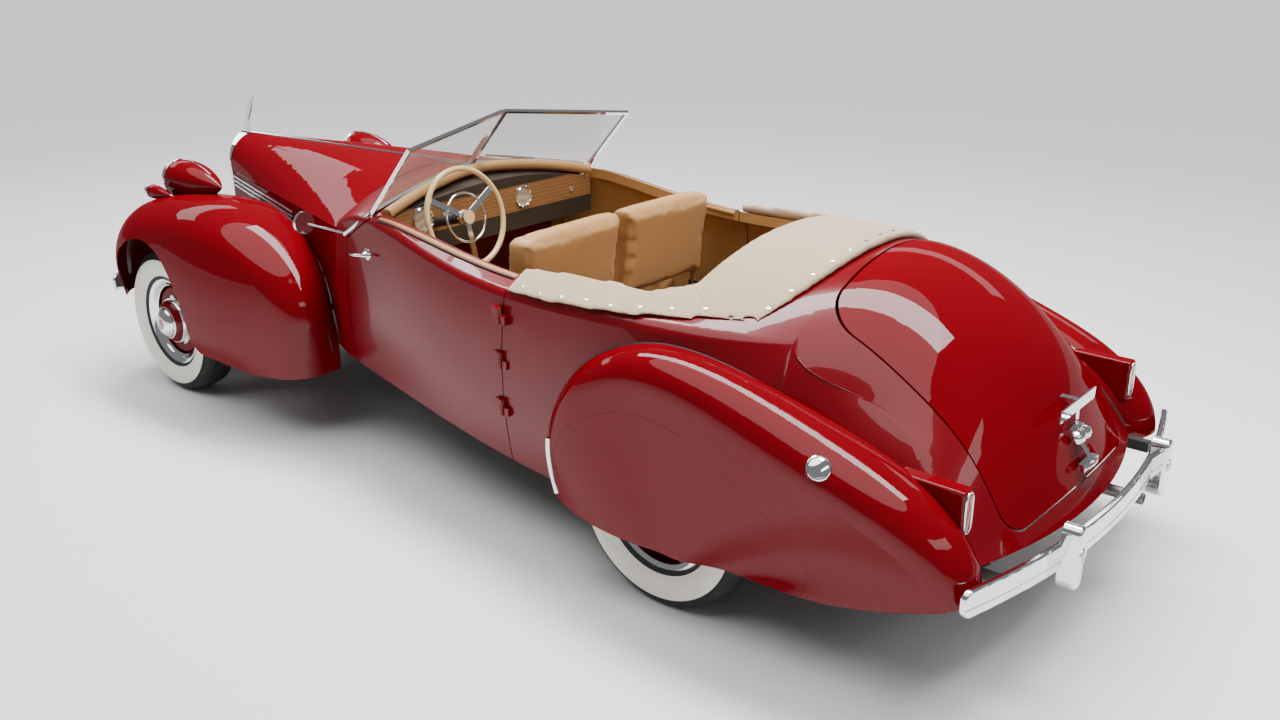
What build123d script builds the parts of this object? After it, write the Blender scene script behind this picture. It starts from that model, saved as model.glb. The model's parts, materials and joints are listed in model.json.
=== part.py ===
"""A classic two-door, four-seat convertible car with a separate chassis, pontoon fenders and a V windshield.

The row frame has +Z up, the front of the car towards -Y and its left side, the driver's, towards +X.
The origin is on the ground under the middle of the car's length. All sizes are in millimetres.
"""
import os
from math import cos, radians, sin, sqrt

from build123d import *

os.makedirs("parts", exist_ok=True)

# Driving dimensions: axles, tracks, tyres and rims
WHEELBASE = 3226
FRONT_AXLE_Y = -1843
REAR_AXLE_Y = FRONT_AXLE_Y + WHEELBASE
TYRE_R = 371
TYRE_WIDTH = 184
RIM_R = 214
RIM_WIDTH = 118
FRONT_TYRE_X = 755
REAR_TYRE_X = 762
AXLE_Z = TYRE_R

# Clearances: fixed pieces to their seats, moving panels to their neighbours, pins in their bores
SEAT_GAP = 0.3
PANEL_GAP = 5
PIN_GAP = 0.3
HULL_GAP = 0.5
FAR = 3000

# Wall thicknesses
CABIN_WALL = 45
SKIN = 12
FENDER_SKIN = 9
HOOD_SKIN = 8

# Places along the body
COWL_FRONT = FRONT_AXLE_Y + 1262
FIREWALL_Y = FRONT_AXLE_Y + 1300
FIREWALL = 10
DOOR_FRONT = FRONT_AXLE_Y + 1345
DOOR_REAR = REAR_AXLE_Y - 764
DOOR_BEVEL = 14
BULKHEAD_Y = REAR_AXLE_Y + 28
TAIL_Y = REAR_AXLE_Y + 374
TAIL_PIVOT_Z = 480
TAIL_EYE = 60

# Body sections square to Y: place, half width and height at foot, waist and shoulder, crown height, shoulder radius
BODY_SECTIONS = [
    (COWL_FRONT, 655, 440, 688, 750, 655, 1058, 1236, 40),
    (FRONT_AXLE_Y + 1540, 700, 416, 730, 750, 700, 1128, 1232, 40),
    (FRONT_AXLE_Y + 2000, 758, 370, 795, 710, 768, 1062, 1190, 40),
    (DOOR_REAR, 790, 322, 828, 700, 798, 1010, 1150, 40),
    (REAR_AXLE_Y - 76, 798, 306, 834, 700, 785, 1030, 1160, 60),
    (TAIL_Y, 745, 306, 766, 700, 606, 1010, 1222, 120),
]
# Tail sections that lean back about the tail's pivot: lean, half width and reach at foot, waist and shoulder,
# crown reach, shoulder radius
TAIL_SECTIONS = [
    (0, 764, TAIL_EYE, 764, 240, 606, 530, 742, 120),
    (34, 702, TAIL_EYE, 692, 285, 582, 478, 752, 120),
    (60, 690, TAIL_EYE, 680, 400, 600, 556, 750, 110),
    (76, 690, TAIL_EYE, 696, 440, 668, 606, 762, 80),
    (90, 690, TAIL_EYE, 700, 500, 680, 706, 827, 60),
]
# How far the folded-top cover's crown stands above the body's, at the same places from the doors back
BOOT_RISE = [100, 70, 22]
BOOT_PUFF = 8

# Fender sections that lean about a pivot: lean, crown reach, inner edge, crown place, outer edge, foot half width
FRONT_EYE = 230
FRONT_FENDER = [
    (-95, 458, 165, 400, 600, 835, 330, 880),
    (-60, 560, 165, 500, 640, 892, 400, 925),
    (-25, 622, 195, 520, 690, 936, 460, 945),
    (5, 642, 270, 540, 715, 950, 470, 950),
    (35, 815, 380, 690, 715, 948, 640, 955),
    (58, 1075, 495, 880, 720, 930, 925, 955),
    (76, 1192, 585, 1066, 735, 885, 1090, 955),
    (95, 1150, 610, 1130, 725, 858, 1040, 950),
]
REAR_PIVOT_Y = REAR_AXLE_Y + 100
REAR_PIVOT_Z = 180
REAR_EYE = 60
EYE_GROW = 20
REAR_FENDER = [
    (-82, 588, 760, 580, 800, 905, 520, 930),
    (-55, 714, 760, 705, 810, 930, 620, 938),
    (-33, 788, 760, 778, 820, 942, 680, 942),
    (-7, 802, 740, 790, 840, 950, 680, 945),
    (18, 796, 680, 700, 822, 948, 660, 945),
    (41, 872, 640, 770, 800, 942, 720, 942),
    (58, 1010, 650, 930, 785, 922, 842, 938),
    (70, 1088, 665, 1012, 778, 890, 966, 930),
    (84, 895, 680, 845, 770, 862, 790, 920),
]


def lean_plane(axis_y, axis_z, lean):
    """A plane that holds the X direction and leans back from upright by lean degrees about (axis_y, axis_z)."""
    tilt = radians(lean)
    return Plane(origin=(0, axis_y, axis_z), x_dir=(1, 0, 0), z_dir=(0, -cos(tilt), sin(tilt)))


def side_plane(x):
    """A plane square to X, with +Y to its right and +Z up."""
    return Plane(origin=(x, 0, 0), x_dir=(0, 1, 0), z_dir=(1, 0, 0))


def block(x0, x1, y0, y1, z0, z1, mode=Mode.ADD):
    """A plain block between two corners, in the open part."""
    with Locations(((x0 + x1) / 2, (y0 + y1) / 2, (z0 + z1) / 2)):
        Box(abs(x1 - x0), abs(y1 - y0), abs(z1 - z0), mode=mode)


def rod(start, end, radius, mode=Mode.ADD):
    """A round rod from start to end, in the open part."""
    along = Vector(*end) - Vector(*start)
    middle = (Vector(*end) + Vector(*start)) / 2
    with Locations(Plane(origin=middle, z_dir=along)):
        Cylinder(radius, along.length, mode=mode)


def mirrored(shape):
    """The same shape on the car's other side."""
    return mirror(shape, about=Plane.YZ, mode=Mode.PRIVATE)


def save(piece, name):
    """Label a finished piece and write it."""
    piece.part.label = name
    export_step(piece.part, f"parts/{name}.step")


def section_loft(sections, inset):
    """A full-width form lofted through sections, each with a flat foot, arched sides and crown, and round shoulders.

    A section is its plane, half width and height at foot, waist and shoulder, crown height, shoulder radius.
    """
    with BuildPart() as form:
        for plane, foot_x, foot_z, waist_x, waist_z, top_x, top_z, crown, radius in sections:
            foot = (foot_x - inset, foot_z - 2 * max(inset, 0))
            waist = (waist_x - inset, waist_z)
            top = (top_x - inset, top_z - inset * 0.7)
            with BuildSketch(plane) as face:
                with BuildLine():
                    Line((-foot[0], foot[1]), foot)
                    ThreePointArc(foot, waist, top)
                    ThreePointArc(top, (0, crown - inset), (-top[0], top[1]))
                    ThreePointArc((-top[0], top[1]), (-waist[0], waist[1]), (-foot[0], foot[1]))
                make_face()
                fillet(face.vertices().group_by(Axis.Y)[-1], radius)
        loft()
    return form.part


def body_form(inset, rows=BODY_SECTIONS):
    """The body's outer form as far as the tail, with every section drawn inset."""
    return section_loft([(lean_plane(row[0], 0, 0), *row[1:]) for row in rows], inset)


def tail_form(inset):
    """The tail's outer form, fanned about its pivot, with every section drawn inset."""
    return section_loft([(lean_plane(TAIL_Y, TAIL_PIVOT_Z, row[0]), *row[1:]) for row in TAIL_SECTIONS], inset)


def fender_form(rows, pivot, eye, inset, open_side=0):
    """A left fender's form, fanned about a pivot: a round crown, a long outer side and a flat inner side.

    A form that hollows another one out is drawn inset, and reaches further in by open_side.
    """
    with BuildPart() as form:
        for lean, reach, inner_x, inner_s, crown_x, outer_x, outer_s, foot_x in rows:
            inner = (inner_x, inner_s - inset)
            edge = (inner_x - open_side, inner_s - inset)
            crown = (crown_x, reach - inset)
            outer = (outer_x - inset, outer_s)
            foot = (foot_x - inset, eye)
            with BuildSketch(lean_plane(*pivot, lean)):
                with BuildLine():
                    TangentArc(crown, inner, tangent=(-1, 0))
                    roll = TangentArc(crown, outer, tangent=(1, 0))
                    TangentArc(outer, foot, tangent=roll % 1)
                    if open_side:
                        Line(inner, edge)
                    Polyline(edge, (edge[0], eye), foot)
                make_face()
        loft()
    return form.part


# The body's outer form, the same form grown by the seating gap, and the hollows inside it
with BuildPart() as hull:
    add(body_form(0))
    add(tail_form(0))
with BuildPart() as hull_clear:
    add(body_form(-HULL_GAP))
    add(tail_form(-HULL_GAP))
with BuildPart() as cabin_hollow:
    add(body_form(CABIN_WALL))
    block(-FAR, FAR, BULKHEAD_Y, FAR, -FAR, FAR, mode=Mode.SUBTRACT)
with BuildPart() as boot_hollow:
    add(body_form(SKIN))
    block(-FAR, FAR, -FAR, BULKHEAD_Y + SKIN, -FAR, FAR, mode=Mode.SUBTRACT)
    add(tail_form(SKIN))

# Cockpit opening, in plan, from the windshield's foot to the front of the folded-top cover
COCKPIT_FRONT = FRONT_AXLE_Y + 1452
COCKPIT_SIDE_Y = FRONT_AXLE_Y + 1562
COCKPIT_HALF = 655
COCKPIT_REAR_HALF = 692
COCKPIT_REAR = REAR_AXLE_Y - 47
COCKPIT_REAR_CORNER = 572
COCKPIT_FLOOR_Z = 800
COCKPIT_OUTLINE = [
    (0, COCKPIT_FRONT),
    (COCKPIT_HALF, COCKPIT_SIDE_Y),
    (COCKPIT_REAR_HALF, DOOR_REAR),
    (COCKPIT_REAR_HALF - 25, COCKPIT_REAR - 130),
    (COCKPIT_REAR_CORNER, COCKPIT_REAR),
]
with BuildPart() as cockpit:
    with BuildSketch(Plane.XY.offset(COCKPIT_FLOOR_Z)):
        with BuildLine():
            Polyline(COCKPIT_OUTLINE + [(-x, y) for x, y in reversed(COCKPIT_OUTLINE)], close=True)
        make_face()
    extrude(amount=FAR)
with BuildPart() as shell:
    add(hull)
    add(cabin_hollow, mode=Mode.SUBTRACT)
    add(boot_hollow, mode=Mode.SUBTRACT)
    add(cockpit, mode=Mode.SUBTRACT)

# Door openings: the front edge is cut on a bevel, so that the door's inner corner swings clear of the cowl
STANCHION_FOOT = (FRONT_AXLE_Y + 1375, 1012)
STANCHION_HEAD = (FRONT_AXLE_Y + 1560, 1124)
SEAM_X = 690
BEVEL = radians(DOOR_BEVEL)


def door_zone(grow):
    """The space that the left door fills, grown outwards by a gap."""
    cut = Plane(origin=(0, 0, 0), x_dir=(sin(BEVEL), cos(BEVEL), 0), z_dir=(cos(BEVEL), -sin(BEVEL), 0))
    seam = [(DOOR_FRONT, 0), (STANCHION_FOOT[0], STANCHION_FOOT[1] + grow)]
    seam += [(STANCHION_HEAD[0], STANCHION_HEAD[1] + grow), (STANCHION_HEAD[0], FAR)]
    edge = [(SEAM_X * sin(BEVEL) + y * cos(BEVEL) - grow, z) for y, z in seam]
    with BuildPart() as zone:
        with BuildSketch(cut):
            with BuildLine():
                Polyline(edge + [(FAR, FAR), (FAR, 0)], close=True)
            make_face()
        extrude(amount=FAR)
        block(-FAR, FAR, DOOR_REAR + grow, FAR, -FAR, FAR, mode=Mode.SUBTRACT)
    return zone.part


left_zone = door_zone(0)
left_zone_clear = door_zone(PANEL_GAP)

# Outside door hinges: three pins behind the door's rear edge, carried by leaves on the body
HINGE_X = 838
HINGE_Y = DOOR_REAR + PANEL_GAP / 2
HINGE_PIN_R = 5
HINGE_KNUCKLE_R = 10
HINGE_HALF = 32
HINGE_LEAF = 34
HINGE_HEIGHTS = [925, 750, 560]

with BuildPart() as door_left:
    add(shell)
    add(left_zone, mode=Mode.INTERSECT)
    for z in HINGE_HEIGHTS:
        rod((HINGE_X, HINGE_Y, z + PIN_GAP), (HINGE_X, HINGE_Y, z + HINGE_HALF), HINGE_KNUCKLE_R)
        block(HINGE_X - 30, HINGE_X, HINGE_Y - HINGE_LEAF, HINGE_Y - 4, z + PIN_GAP, z + HINGE_HALF)
        rod((HINGE_X, HINGE_Y, z - FAR), (HINGE_X, HINGE_Y, z + FAR), HINGE_PIN_R + PIN_GAP, mode=Mode.SUBTRACT)
save(door_left, "door_left")
with BuildPart() as door_right:
    add(mirrored(door_left.part))
save(door_right, "door_right")

# Cowl, with the firewall across it
with BuildPart() as cowl:
    add(cabin_hollow)
    block(-FAR, FAR, -FAR, FIREWALL_Y - FIREWALL, -FAR, FAR, mode=Mode.SUBTRACT)
    block(-FAR, FAR, FIREWALL_Y, FAR, -FAR, FAR, mode=Mode.SUBTRACT)
    block(-FAR, FAR, -FAR, FAR, -FAR, 462 + SEAT_GAP, mode=Mode.SUBTRACT)
    add(shell)
    add(left_zone_clear, mode=Mode.SUBTRACT)
    add(mirrored(left_zone_clear), mode=Mode.SUBTRACT)
    block(-FAR, FAR, DOOR_REAR - 500, FAR, -FAR, FAR, mode=Mode.SUBTRACT)
save(cowl, "cowl")

# Trunk lid opening and its gooseneck hinges
LID_HALF = 488
LID_TOP_Y = REAR_AXLE_Y + 414
LID_TOP_R = 120
LID_FOOT = 2709
LID_FOOT_R = 90
LID_TOP_EXTRA = 5
LID_PIVOT_Y = REAR_AXLE_Y + 244
LID_PIVOT_Z = 1165
LID_ARM_X = 180
LID_ARM = 10
LID_PIN_R = 6
LID_ARM_OUTLINE = [(-9, -4), (72, -240), (270, -96), (292, 40), (266, 40), (246, -78), (92, -200), (9, -3)]


def lid_zone(grow):
    """The space that the trunk lid fills, grown outwards by a gap, with some more where its top edge lifts."""
    top = LID_TOP_Y - grow - (LID_TOP_EXTRA if grow else 0)
    foot = LID_FOOT + grow
    rise = Plane(origin=(0, FRONT_AXLE_Y, 0), x_dir=(1, 0, 0), z_dir=(0, sqrt(0.5), sqrt(0.5)))
    with BuildPart() as slant:
        with BuildSketch(rise):
            with Locations((0, foot - FAR / 2)):
                RectangleRounded(2 * (LID_HALF + grow), FAR, LID_FOOT_R)
        extrude(amount=3 * FAR)
    with BuildPart() as zone:
        with BuildSketch():
            with Locations((0, top + FAR / 2)):
                RectangleRounded(2 * (LID_HALF + grow), FAR, LID_TOP_R)
        extrude(amount=FAR)
        add(slant, mode=Mode.INTERSECT)
    return zone.part


with BuildPart() as lid_arms:
    with BuildSketch(side_plane(LID_ARM_X - LID_ARM / 2)):
        with BuildLine():
            Polyline([(LID_PIVOT_Y + y, LID_PIVOT_Z + z) for y, z in LID_ARM_OUTLINE], close=True)
        make_face()
        with Locations((LID_PIVOT_Y, LID_PIVOT_Z)):
            Circle(10)
    extrude(amount=LID_ARM)
    rod((0, LID_PIVOT_Y, LID_PIVOT_Z), (FAR, LID_PIVOT_Y, LID_PIVOT_Z), LID_PIN_R + PIN_GAP, mode=Mode.SUBTRACT)
    mirror(about=Plane.YZ)
    add(body_form(SKIN + 5) + tail_form(SKIN / 2), mode=Mode.INTERSECT)
with BuildPart() as trunk_lid:
    add(shell)
    add(lid_zone(0), mode=Mode.INTERSECT)
    add(lid_arms)
save(trunk_lid, "trunk_lid")

# Rear body: quarter panels, bulkhead, deck and tail, with its wheelhouses, hinge leaves and lid brackets
WHEELHOUSE_R = 430
WHEELHOUSE_X = 580
REAR_FLOOR_Z = 560
FLOOR = 12
with BuildPart() as wheelhouse:
    rod((WHEELHOUSE_X, REAR_AXLE_Y, AXLE_Z), (775, REAR_AXLE_Y, AXLE_Z), WHEELHOUSE_R + FLOOR)
    block(-FAR, FAR, -FAR, FAR, -FAR, REAR_FLOOR_Z, mode=Mode.SUBTRACT)
with BuildPart() as rear_body:
    add(shell)
    block(-FAR, FAR, -FAR, DOOR_REAR + PANEL_GAP, -FAR, FAR, mode=Mode.SUBTRACT)
    add(lid_zone(PANEL_GAP), mode=Mode.SUBTRACT)
    block(-735, 735, BULKHEAD_Y - 1, BULKHEAD_Y + SKIN + 1, -FAR, REAR_FLOOR_Z + FLOOR + SEAT_GAP, mode=Mode.SUBTRACT)
    for side in (1, -1):
        add(wheelhouse if side > 0 else mirrored(wheelhouse.part))
        inner = side * (WHEELHOUSE_X + FLOOR)
        rod((inner, REAR_AXLE_Y, AXLE_Z), (side * 1000, REAR_AXLE_Y, AXLE_Z), WHEELHOUSE_R, mode=Mode.SUBTRACT)
        for z in HINGE_HEIGHTS:
            block(side * (HINGE_X - 30), side * HINGE_X, HINGE_Y + 4, HINGE_Y + HINGE_LEAF, z - HINGE_HALF, z)
            rod((side * HINGE_X, HINGE_Y, z - HINGE_HALF), (side * HINGE_X, HINGE_Y, z), HINGE_KNUCKLE_R)
            rod((side * HINGE_X, HINGE_Y, z - HINGE_HALF), (side * HINGE_X, HINGE_Y, z + HINGE_HALF), HINGE_PIN_R)
        bracket = side * (LID_ARM_X + LID_ARM / 2 + 2)
        block(bracket, bracket + side * 10, LID_PIVOT_Y - 16, LID_PIVOT_Y + 16, LID_PIVOT_Z - 16, LID_PIVOT_Z + 16)
        rod((bracket, LID_PIVOT_Y, LID_PIVOT_Z), (bracket - side * 20, LID_PIVOT_Y, LID_PIVOT_Z), LID_PIN_R)
save(rear_body, "rear_body")

# Folded-top cover: a padded roll on the body's shoulders and deck, behind and beside the cockpit
BOOT_HEM_Z = [(DOOR_REAR, 1012), (REAR_AXLE_Y + 230, 1062)]
BOOT_REAR_Y = REAR_AXLE_Y + 366
BOOT_CORNER = (720, REAR_AXLE_Y + 205)
with BuildPart() as boot_cover:
    rows = [(*row[:7], row[7] + rise, row[8]) for row, rise in zip(BODY_SECTIONS[3:], BOOT_RISE)]
    add(body_form(-BOOT_PUFF, rows))
    block(-FAR, FAR, -FAR, DOOR_REAR + PANEL_GAP + 4, -FAR, FAR, mode=Mode.SUBTRACT)
    with BuildSketch(Plane.XY):
        with BuildLine():
            ThreePointArc((BOOT_CORNER[0], BOOT_CORNER[1]), (0, BOOT_REAR_Y), (-BOOT_CORNER[0], BOOT_CORNER[1]))
            Polyline((-BOOT_CORNER[0], BOOT_CORNER[1]), (-FAR, BOOT_CORNER[1]), (-FAR, FAR), (FAR, FAR))
            Polyline((FAR, FAR), (FAR, BOOT_CORNER[1]), (BOOT_CORNER[0], BOOT_CORNER[1]))
        make_face()
    extrude(amount=FAR, mode=Mode.SUBTRACT)
    with BuildSketch(side_plane(-FAR / 2)):
        with BuildLine():
            Polyline((-FAR, 0), (-FAR, 1012), *BOOT_HEM_Z, (FAR, 1062), (FAR, 0), close=True)
        make_face()
    extrude(amount=FAR, mode=Mode.SUBTRACT)
    add(cockpit, mode=Mode.SUBTRACT)
    add(hull_clear, mode=Mode.SUBTRACT)
save(boot_cover, "boot_cover")

# Hood: two halves hinged on the chrome centre strip, between the grille shell and the cowl
HOOD_FRONT = FRONT_AXLE_Y - 385
HOOD_REAR = COWL_FRONT - 6
HOOD_SEAM_X = 12
STRIP_R = 7
# Place, half width and height of the lower edge, ridge height, share of width and height of the shoulder
HOOD_SECTIONS = [
    (HOOD_FRONT, 148, 1000, 1193, 0.72, 0.72),
    (FRONT_AXLE_Y + 300, 363, 1014, 1211, 0.66, 0.70),
    (HOOD_REAR, 664, 1034, 1236, 0.60, 0.69),
]
RIDGE_FRONT = (0, HOOD_FRONT, HOOD_SECTIONS[0][3] - 1)
RIDGE_REAR = (0, HOOD_REAR, HOOD_SECTIONS[2][3] - 1)
RIDGE = (Vector(*RIDGE_REAR) - Vector(*RIDGE_FRONT)).normalized()

with BuildPart() as hood_left:
    for y, low_x, low_z, ridge_z, share_x, share_z in HOOD_SECTIONS:
        top = (HOOD_SEAM_X, ridge_z)
        low = (low_x, low_z)
        shoulder = (low_x * share_x, low_z + (ridge_z - low_z) * share_z)
        with BuildSketch(lean_plane(y, 0, 0)):
            with BuildLine():
                ThreePointArc(top, shoulder, low)
                Line(low, (low[0] - HOOD_SKIN, low[1]))
                ThreePointArc(
                    (low[0] - HOOD_SKIN, low[1]),
                    (shoulder[0] - HOOD_SKIN * 0.6, shoulder[1] - HOOD_SKIN * 0.8),
                    (top[0], top[1] - HOOD_SKIN),
                )
                Line((top[0], top[1] - HOOD_SKIN), top)
            make_face()
    loft()
    for share in (0.12, 0.5, 0.88):
        spot = Vector(*RIDGE_FRONT) + (Vector(*RIDGE_REAR) - Vector(*RIDGE_FRONT)) * share
        block(0, HOOD_SEAM_X + 4, spot.Y - 30, spot.Y + 30, spot.Z - HOOD_SKIN + 3, spot.Z)
    rod(Vector(*RIDGE_FRONT) - RIDGE * 50, Vector(*RIDGE_REAR) + RIDGE * 50, STRIP_R + PIN_GAP, mode=Mode.SUBTRACT)
save(hood_left, "hood_left")
with BuildPart() as hood_right:
    add(mirrored(hood_left.part))
save(hood_right, "hood_right")

# Hood sides: fixed panels from the grille shell to the cowl, below the hood's edges
SIDE_LOW_FRONT = 640
GRILLE_REAR = HOOD_FRONT - 6
with BuildPart() as bay:
    # The engine bay's outer form, up to the hood's lower edge
    with BuildSketch(lean_plane(GRILLE_REAR + SEAT_GAP, 0, 0)):
        with BuildLine():
            Polyline((-148, 994), (-148, SIDE_LOW_FRONT), (148, SIDE_LOW_FRONT), (148, 994))
            Line((148, 994), (-148, 994))
        make_face()
    with BuildSketch(lean_plane(COWL_FRONT - SEAT_GAP, 0, 0)):
        with BuildLine():
            Polyline((-664, 1028), (-655, 440), (655, 440), (664, 1028))
            Line((664, 1028), (-664, 1028))
        make_face()
    loft(ruled=True)
with BuildPart() as bay_hollow:
    with BuildSketch(lean_plane(GRILLE_REAR - 5, 0, 0)):
        with Locations((0, 800)):
            Rectangle(2 * (148 - HOOD_SKIN), 1600)
    with BuildSketch(lean_plane(COWL_FRONT + 5, 0, 0)):
        with Locations((0, 800)):
            Rectangle(2 * (655 - HOOD_SKIN), 1600)
    loft(ruled=True)
with BuildPart() as bay_clear:
    with BuildSketch(lean_plane(GRILLE_REAR - 200, 0, 0)):
        with Locations((0, 800)):
            Rectangle(2 * (148 - 0.314 * 200 + SEAT_GAP), 1600)
    with BuildSketch(lean_plane(COWL_FRONT, 0, 0)):
        with Locations((0, 800)):
            Rectangle(2 * (664 + SEAT_GAP), 1600)
    loft(ruled=True)
with BuildPart() as hood_sides:
    add(bay)
    add(bay_hollow, mode=Mode.SUBTRACT)
save(hood_sides, "hood_sides")

# Fenders: hollow pontoons, cut to their wheel openings and lower edges, and fitted to the body
ARCH_INSIDE_X = 800
with BuildPart() as front_arch:
    with BuildSketch(side_plane(ARCH_INSIDE_X)):
        with BuildLine():
            Line((-345, 0), (-345, 480))
            ThreePointArc((-345, 480), (95, 832), (437, 545))
            Polyline((437, 545), (460, 300), (460, 0), (-345, 0))
        make_face()
    extrude(amount=FAR)
with BuildPart() as front_hem:
    with BuildSketch(side_plane(0)):
        with BuildLine():
            Polyline((-700, 456), (-345, 456), (455, 330))
            ThreePointArc((455, 330), (850, 305), (1300, 362))
            Polyline((1300, 362), (1300, -200), (-700, -200), (-700, 456))
        make_face()
    extrude(amount=FAR)
FRONT_PIVOT = (FRONT_AXLE_Y, AXLE_Z)
REAR_PIVOT = (REAR_PIVOT_Y, REAR_PIVOT_Z)
with BuildPart() as front_fender_left:
    add(fender_form(FRONT_FENDER, FRONT_PIVOT, FRONT_EYE, 0))
    add(fender_form(FRONT_FENDER, FRONT_PIVOT, FRONT_EYE - EYE_GROW, FENDER_SKIN, 60), mode=Mode.SUBTRACT)
    add(front_arch.part.moved(Location((0, FRONT_AXLE_Y, 0))), mode=Mode.SUBTRACT)
    add(front_hem.part.moved(Location((0, FRONT_AXLE_Y, 0))), mode=Mode.SUBTRACT)
    add(bay_clear, mode=Mode.SUBTRACT)
    add(hull_clear, mode=Mode.SUBTRACT)
save(front_fender_left, "front_fender_left")
with BuildPart() as front_fender_right:
    add(mirrored(front_fender_left.part))
save(front_fender_right, "front_fender_right")

SKIRT_GAP = 0.6


def skirt_zone(grow):
    """The teardrop outline of the rear fender's skirt, from the car's middle outwards."""
    with BuildPart() as zone:
        with BuildSketch(side_plane(0)):
            with BuildLine():
                ThreePointArc((-398, 335), (-372, 575), (-245, 688))
                ThreePointArc((-245, 688), (-20, 765), (271, 694))
                ThreePointArc((271, 694), (545, 506), (632, 381))
                Polyline((632, 381), (634, 340), (600, 200), (-398, 200), (-398, 335))
            make_face()
            if grow:
                offset(amount=grow)
        extrude(amount=FAR)
    return zone.part.moved(Location((0, REAR_AXLE_Y, 0)))


with BuildPart() as rear_cut:
    with BuildSketch(side_plane(0)):
        with BuildLine():
            ThreePointArc((-600, 345), (250, 290), (700, 312))
            ThreePointArc((700, 312), (950, 372), (1250, 500))
            Polyline((1250, 500), (1250, -200), (-600, -200), (-600, 345))
        make_face()
    extrude(amount=FAR)
with BuildPart() as rear_fender_whole:
    add(fender_form(REAR_FENDER, REAR_PIVOT, REAR_EYE, 0))
    add(fender_form(REAR_FENDER, REAR_PIVOT, REAR_EYE - EYE_GROW, FENDER_SKIN, 60), mode=Mode.SUBTRACT)
    add(rear_cut.part.moved(Location((0, REAR_AXLE_Y, 0))), mode=Mode.SUBTRACT)
    add(hull_clear, mode=Mode.SUBTRACT)
with BuildPart() as rear_fender_left:
    add(rear_fender_whole)
    add(skirt_zone(SKIRT_GAP), mode=Mode.SUBTRACT)
save(rear_fender_left, "rear_fender_left")
with BuildPart() as rear_fender_right:
    add(mirrored(rear_fender_left.part))
save(rear_fender_right, "rear_fender_right")
with BuildPart() as skirt_left:
    add(rear_fender_whole)
    add(skirt_zone(0), mode=Mode.INTERSECT)
with BuildPart() as fender_skirts:
    add(skirt_left)
    add(mirrored(skirt_left.part))
save(fender_skirts, "fender_skirts")

# Wheels and tyres, each made about the X axis at the origin and set at its place
HUB_R = 58
SPINDLE_R = 20
WHEEL_DISH = 30
CAP_R = 122
CAP_RISE = 126
DRUM_R = 150
with BuildPart() as tyre_form:
    with BuildSketch(Plane.XY):
        with BuildLine():
            half = TYRE_WIDTH / 2
            bead = RIM_WIDTH / 2
            Line((-bead, RIM_R + PIN_GAP), (bead, RIM_R + PIN_GAP))
            ThreePointArc((bead, RIM_R + PIN_GAP), (half, RIM_R + 78), (half - 24, TYRE_R - 12))
            ThreePointArc((half - 24, TYRE_R - 12), (0, TYRE_R), (24 - half, TYRE_R - 12))
            ThreePointArc((24 - half, TYRE_R - 12), (-half, RIM_R + 78), (-bead, RIM_R + PIN_GAP))
        make_face()
    revolve(axis=Axis.X)
with BuildPart() as wheel_form:
    with BuildSketch(Plane.XY):
        with BuildLine():
            Polyline((-bead, RIM_R), (-bead, RIM_R - 9), (-22, RIM_R - 9), (WHEEL_DISH - 10, CAP_R + 30))
            Polyline((WHEEL_DISH - 10, CAP_R + 30), (WHEEL_DISH - 10, HUB_R), (-24, HUB_R), (-24, DRUM_R))
            Polyline((-24, DRUM_R), (-80, DRUM_R), (-80, 0), (CAP_RISE, 0))
            ThreePointArc((CAP_RISE, 0), (CAP_RISE - 3, 30), (CAP_RISE - 16, 52))
            ThreePointArc((CAP_RISE - 16, 52), (WHEEL_DISH + 62, CAP_R - 32), (WHEEL_DISH + 6, CAP_R))
            Polyline((WHEEL_DISH + 6, CAP_R), (WHEEL_DISH, CAP_R + 46), (-6, RIM_R - 9), (bead, RIM_R - 9))
            Polyline((bead, RIM_R - 9), (bead, RIM_R), (-bead, RIM_R))
        make_face()
    revolve(axis=Axis.X)
    with BuildSketch(Plane.YZ.offset(-80)):
        Circle(SPINDLE_R + PIN_GAP)
    extrude(amount=125, mode=Mode.SUBTRACT)
WHEEL_PLACES = [
    ("front_left", FRONT_TYRE_X, FRONT_AXLE_Y),
    ("front_right", -FRONT_TYRE_X, FRONT_AXLE_Y),
    ("rear_left", REAR_TYRE_X, REAR_AXLE_Y),
    ("rear_right", -REAR_TYRE_X, REAR_AXLE_Y),
]
for place, x, y in WHEEL_PLACES:
    for kind, form in (("tyre", tyre_form), ("wheel", wheel_form)):
        with BuildPart() as copy:
            with Locations((x, y, AXLE_Z)):
                add(form.part if x > 0 else mirrored(form.part))
        save(copy, f"{kind}_{place}")

# Front axle: crossmember, double arms and kingpins, and a knuckle with its spindle at each side
KINGPIN_X = 650
KINGPIN_R = 10
KNUCKLE_LOW = AXLE_Z - 85
KNUCKLE_TOP = AXLE_Z + 85
RAIL_OUT = 430
RAIL_IN = 380
RAIL_LOW = 340
RAIL_TOP = 450
with BuildPart() as front_suspension:
    block(-RAIL_OUT, RAIL_OUT, FRONT_AXLE_Y - 55, FRONT_AXLE_Y + 55, RAIL_LOW - 80, RAIL_LOW - SEAT_GAP)
    for side in (1, -1):
        arm_end = side * (KINGPIN_X + 12)
        block(side * (RAIL_OUT - 20), arm_end, FRONT_AXLE_Y - 24, FRONT_AXLE_Y + 24, KNUCKLE_LOW - 24, KNUCKLE_LOW - PIN_GAP)
        block(side * (RAIL_IN + 10), arm_end, FRONT_AXLE_Y - 20, FRONT_AXLE_Y + 20, KNUCKLE_TOP + PIN_GAP, KNUCKLE_TOP + 20)
        rod((side * KINGPIN_X, FRONT_AXLE_Y, KNUCKLE_LOW - 12), (side * KINGPIN_X, FRONT_AXLE_Y, KNUCKLE_TOP + 12), KINGPIN_R)
        rod((side * 500, FRONT_AXLE_Y, KNUCKLE_LOW - 12), (side * 500, FRONT_AXLE_Y, KNUCKLE_TOP + 10), 46)
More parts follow.
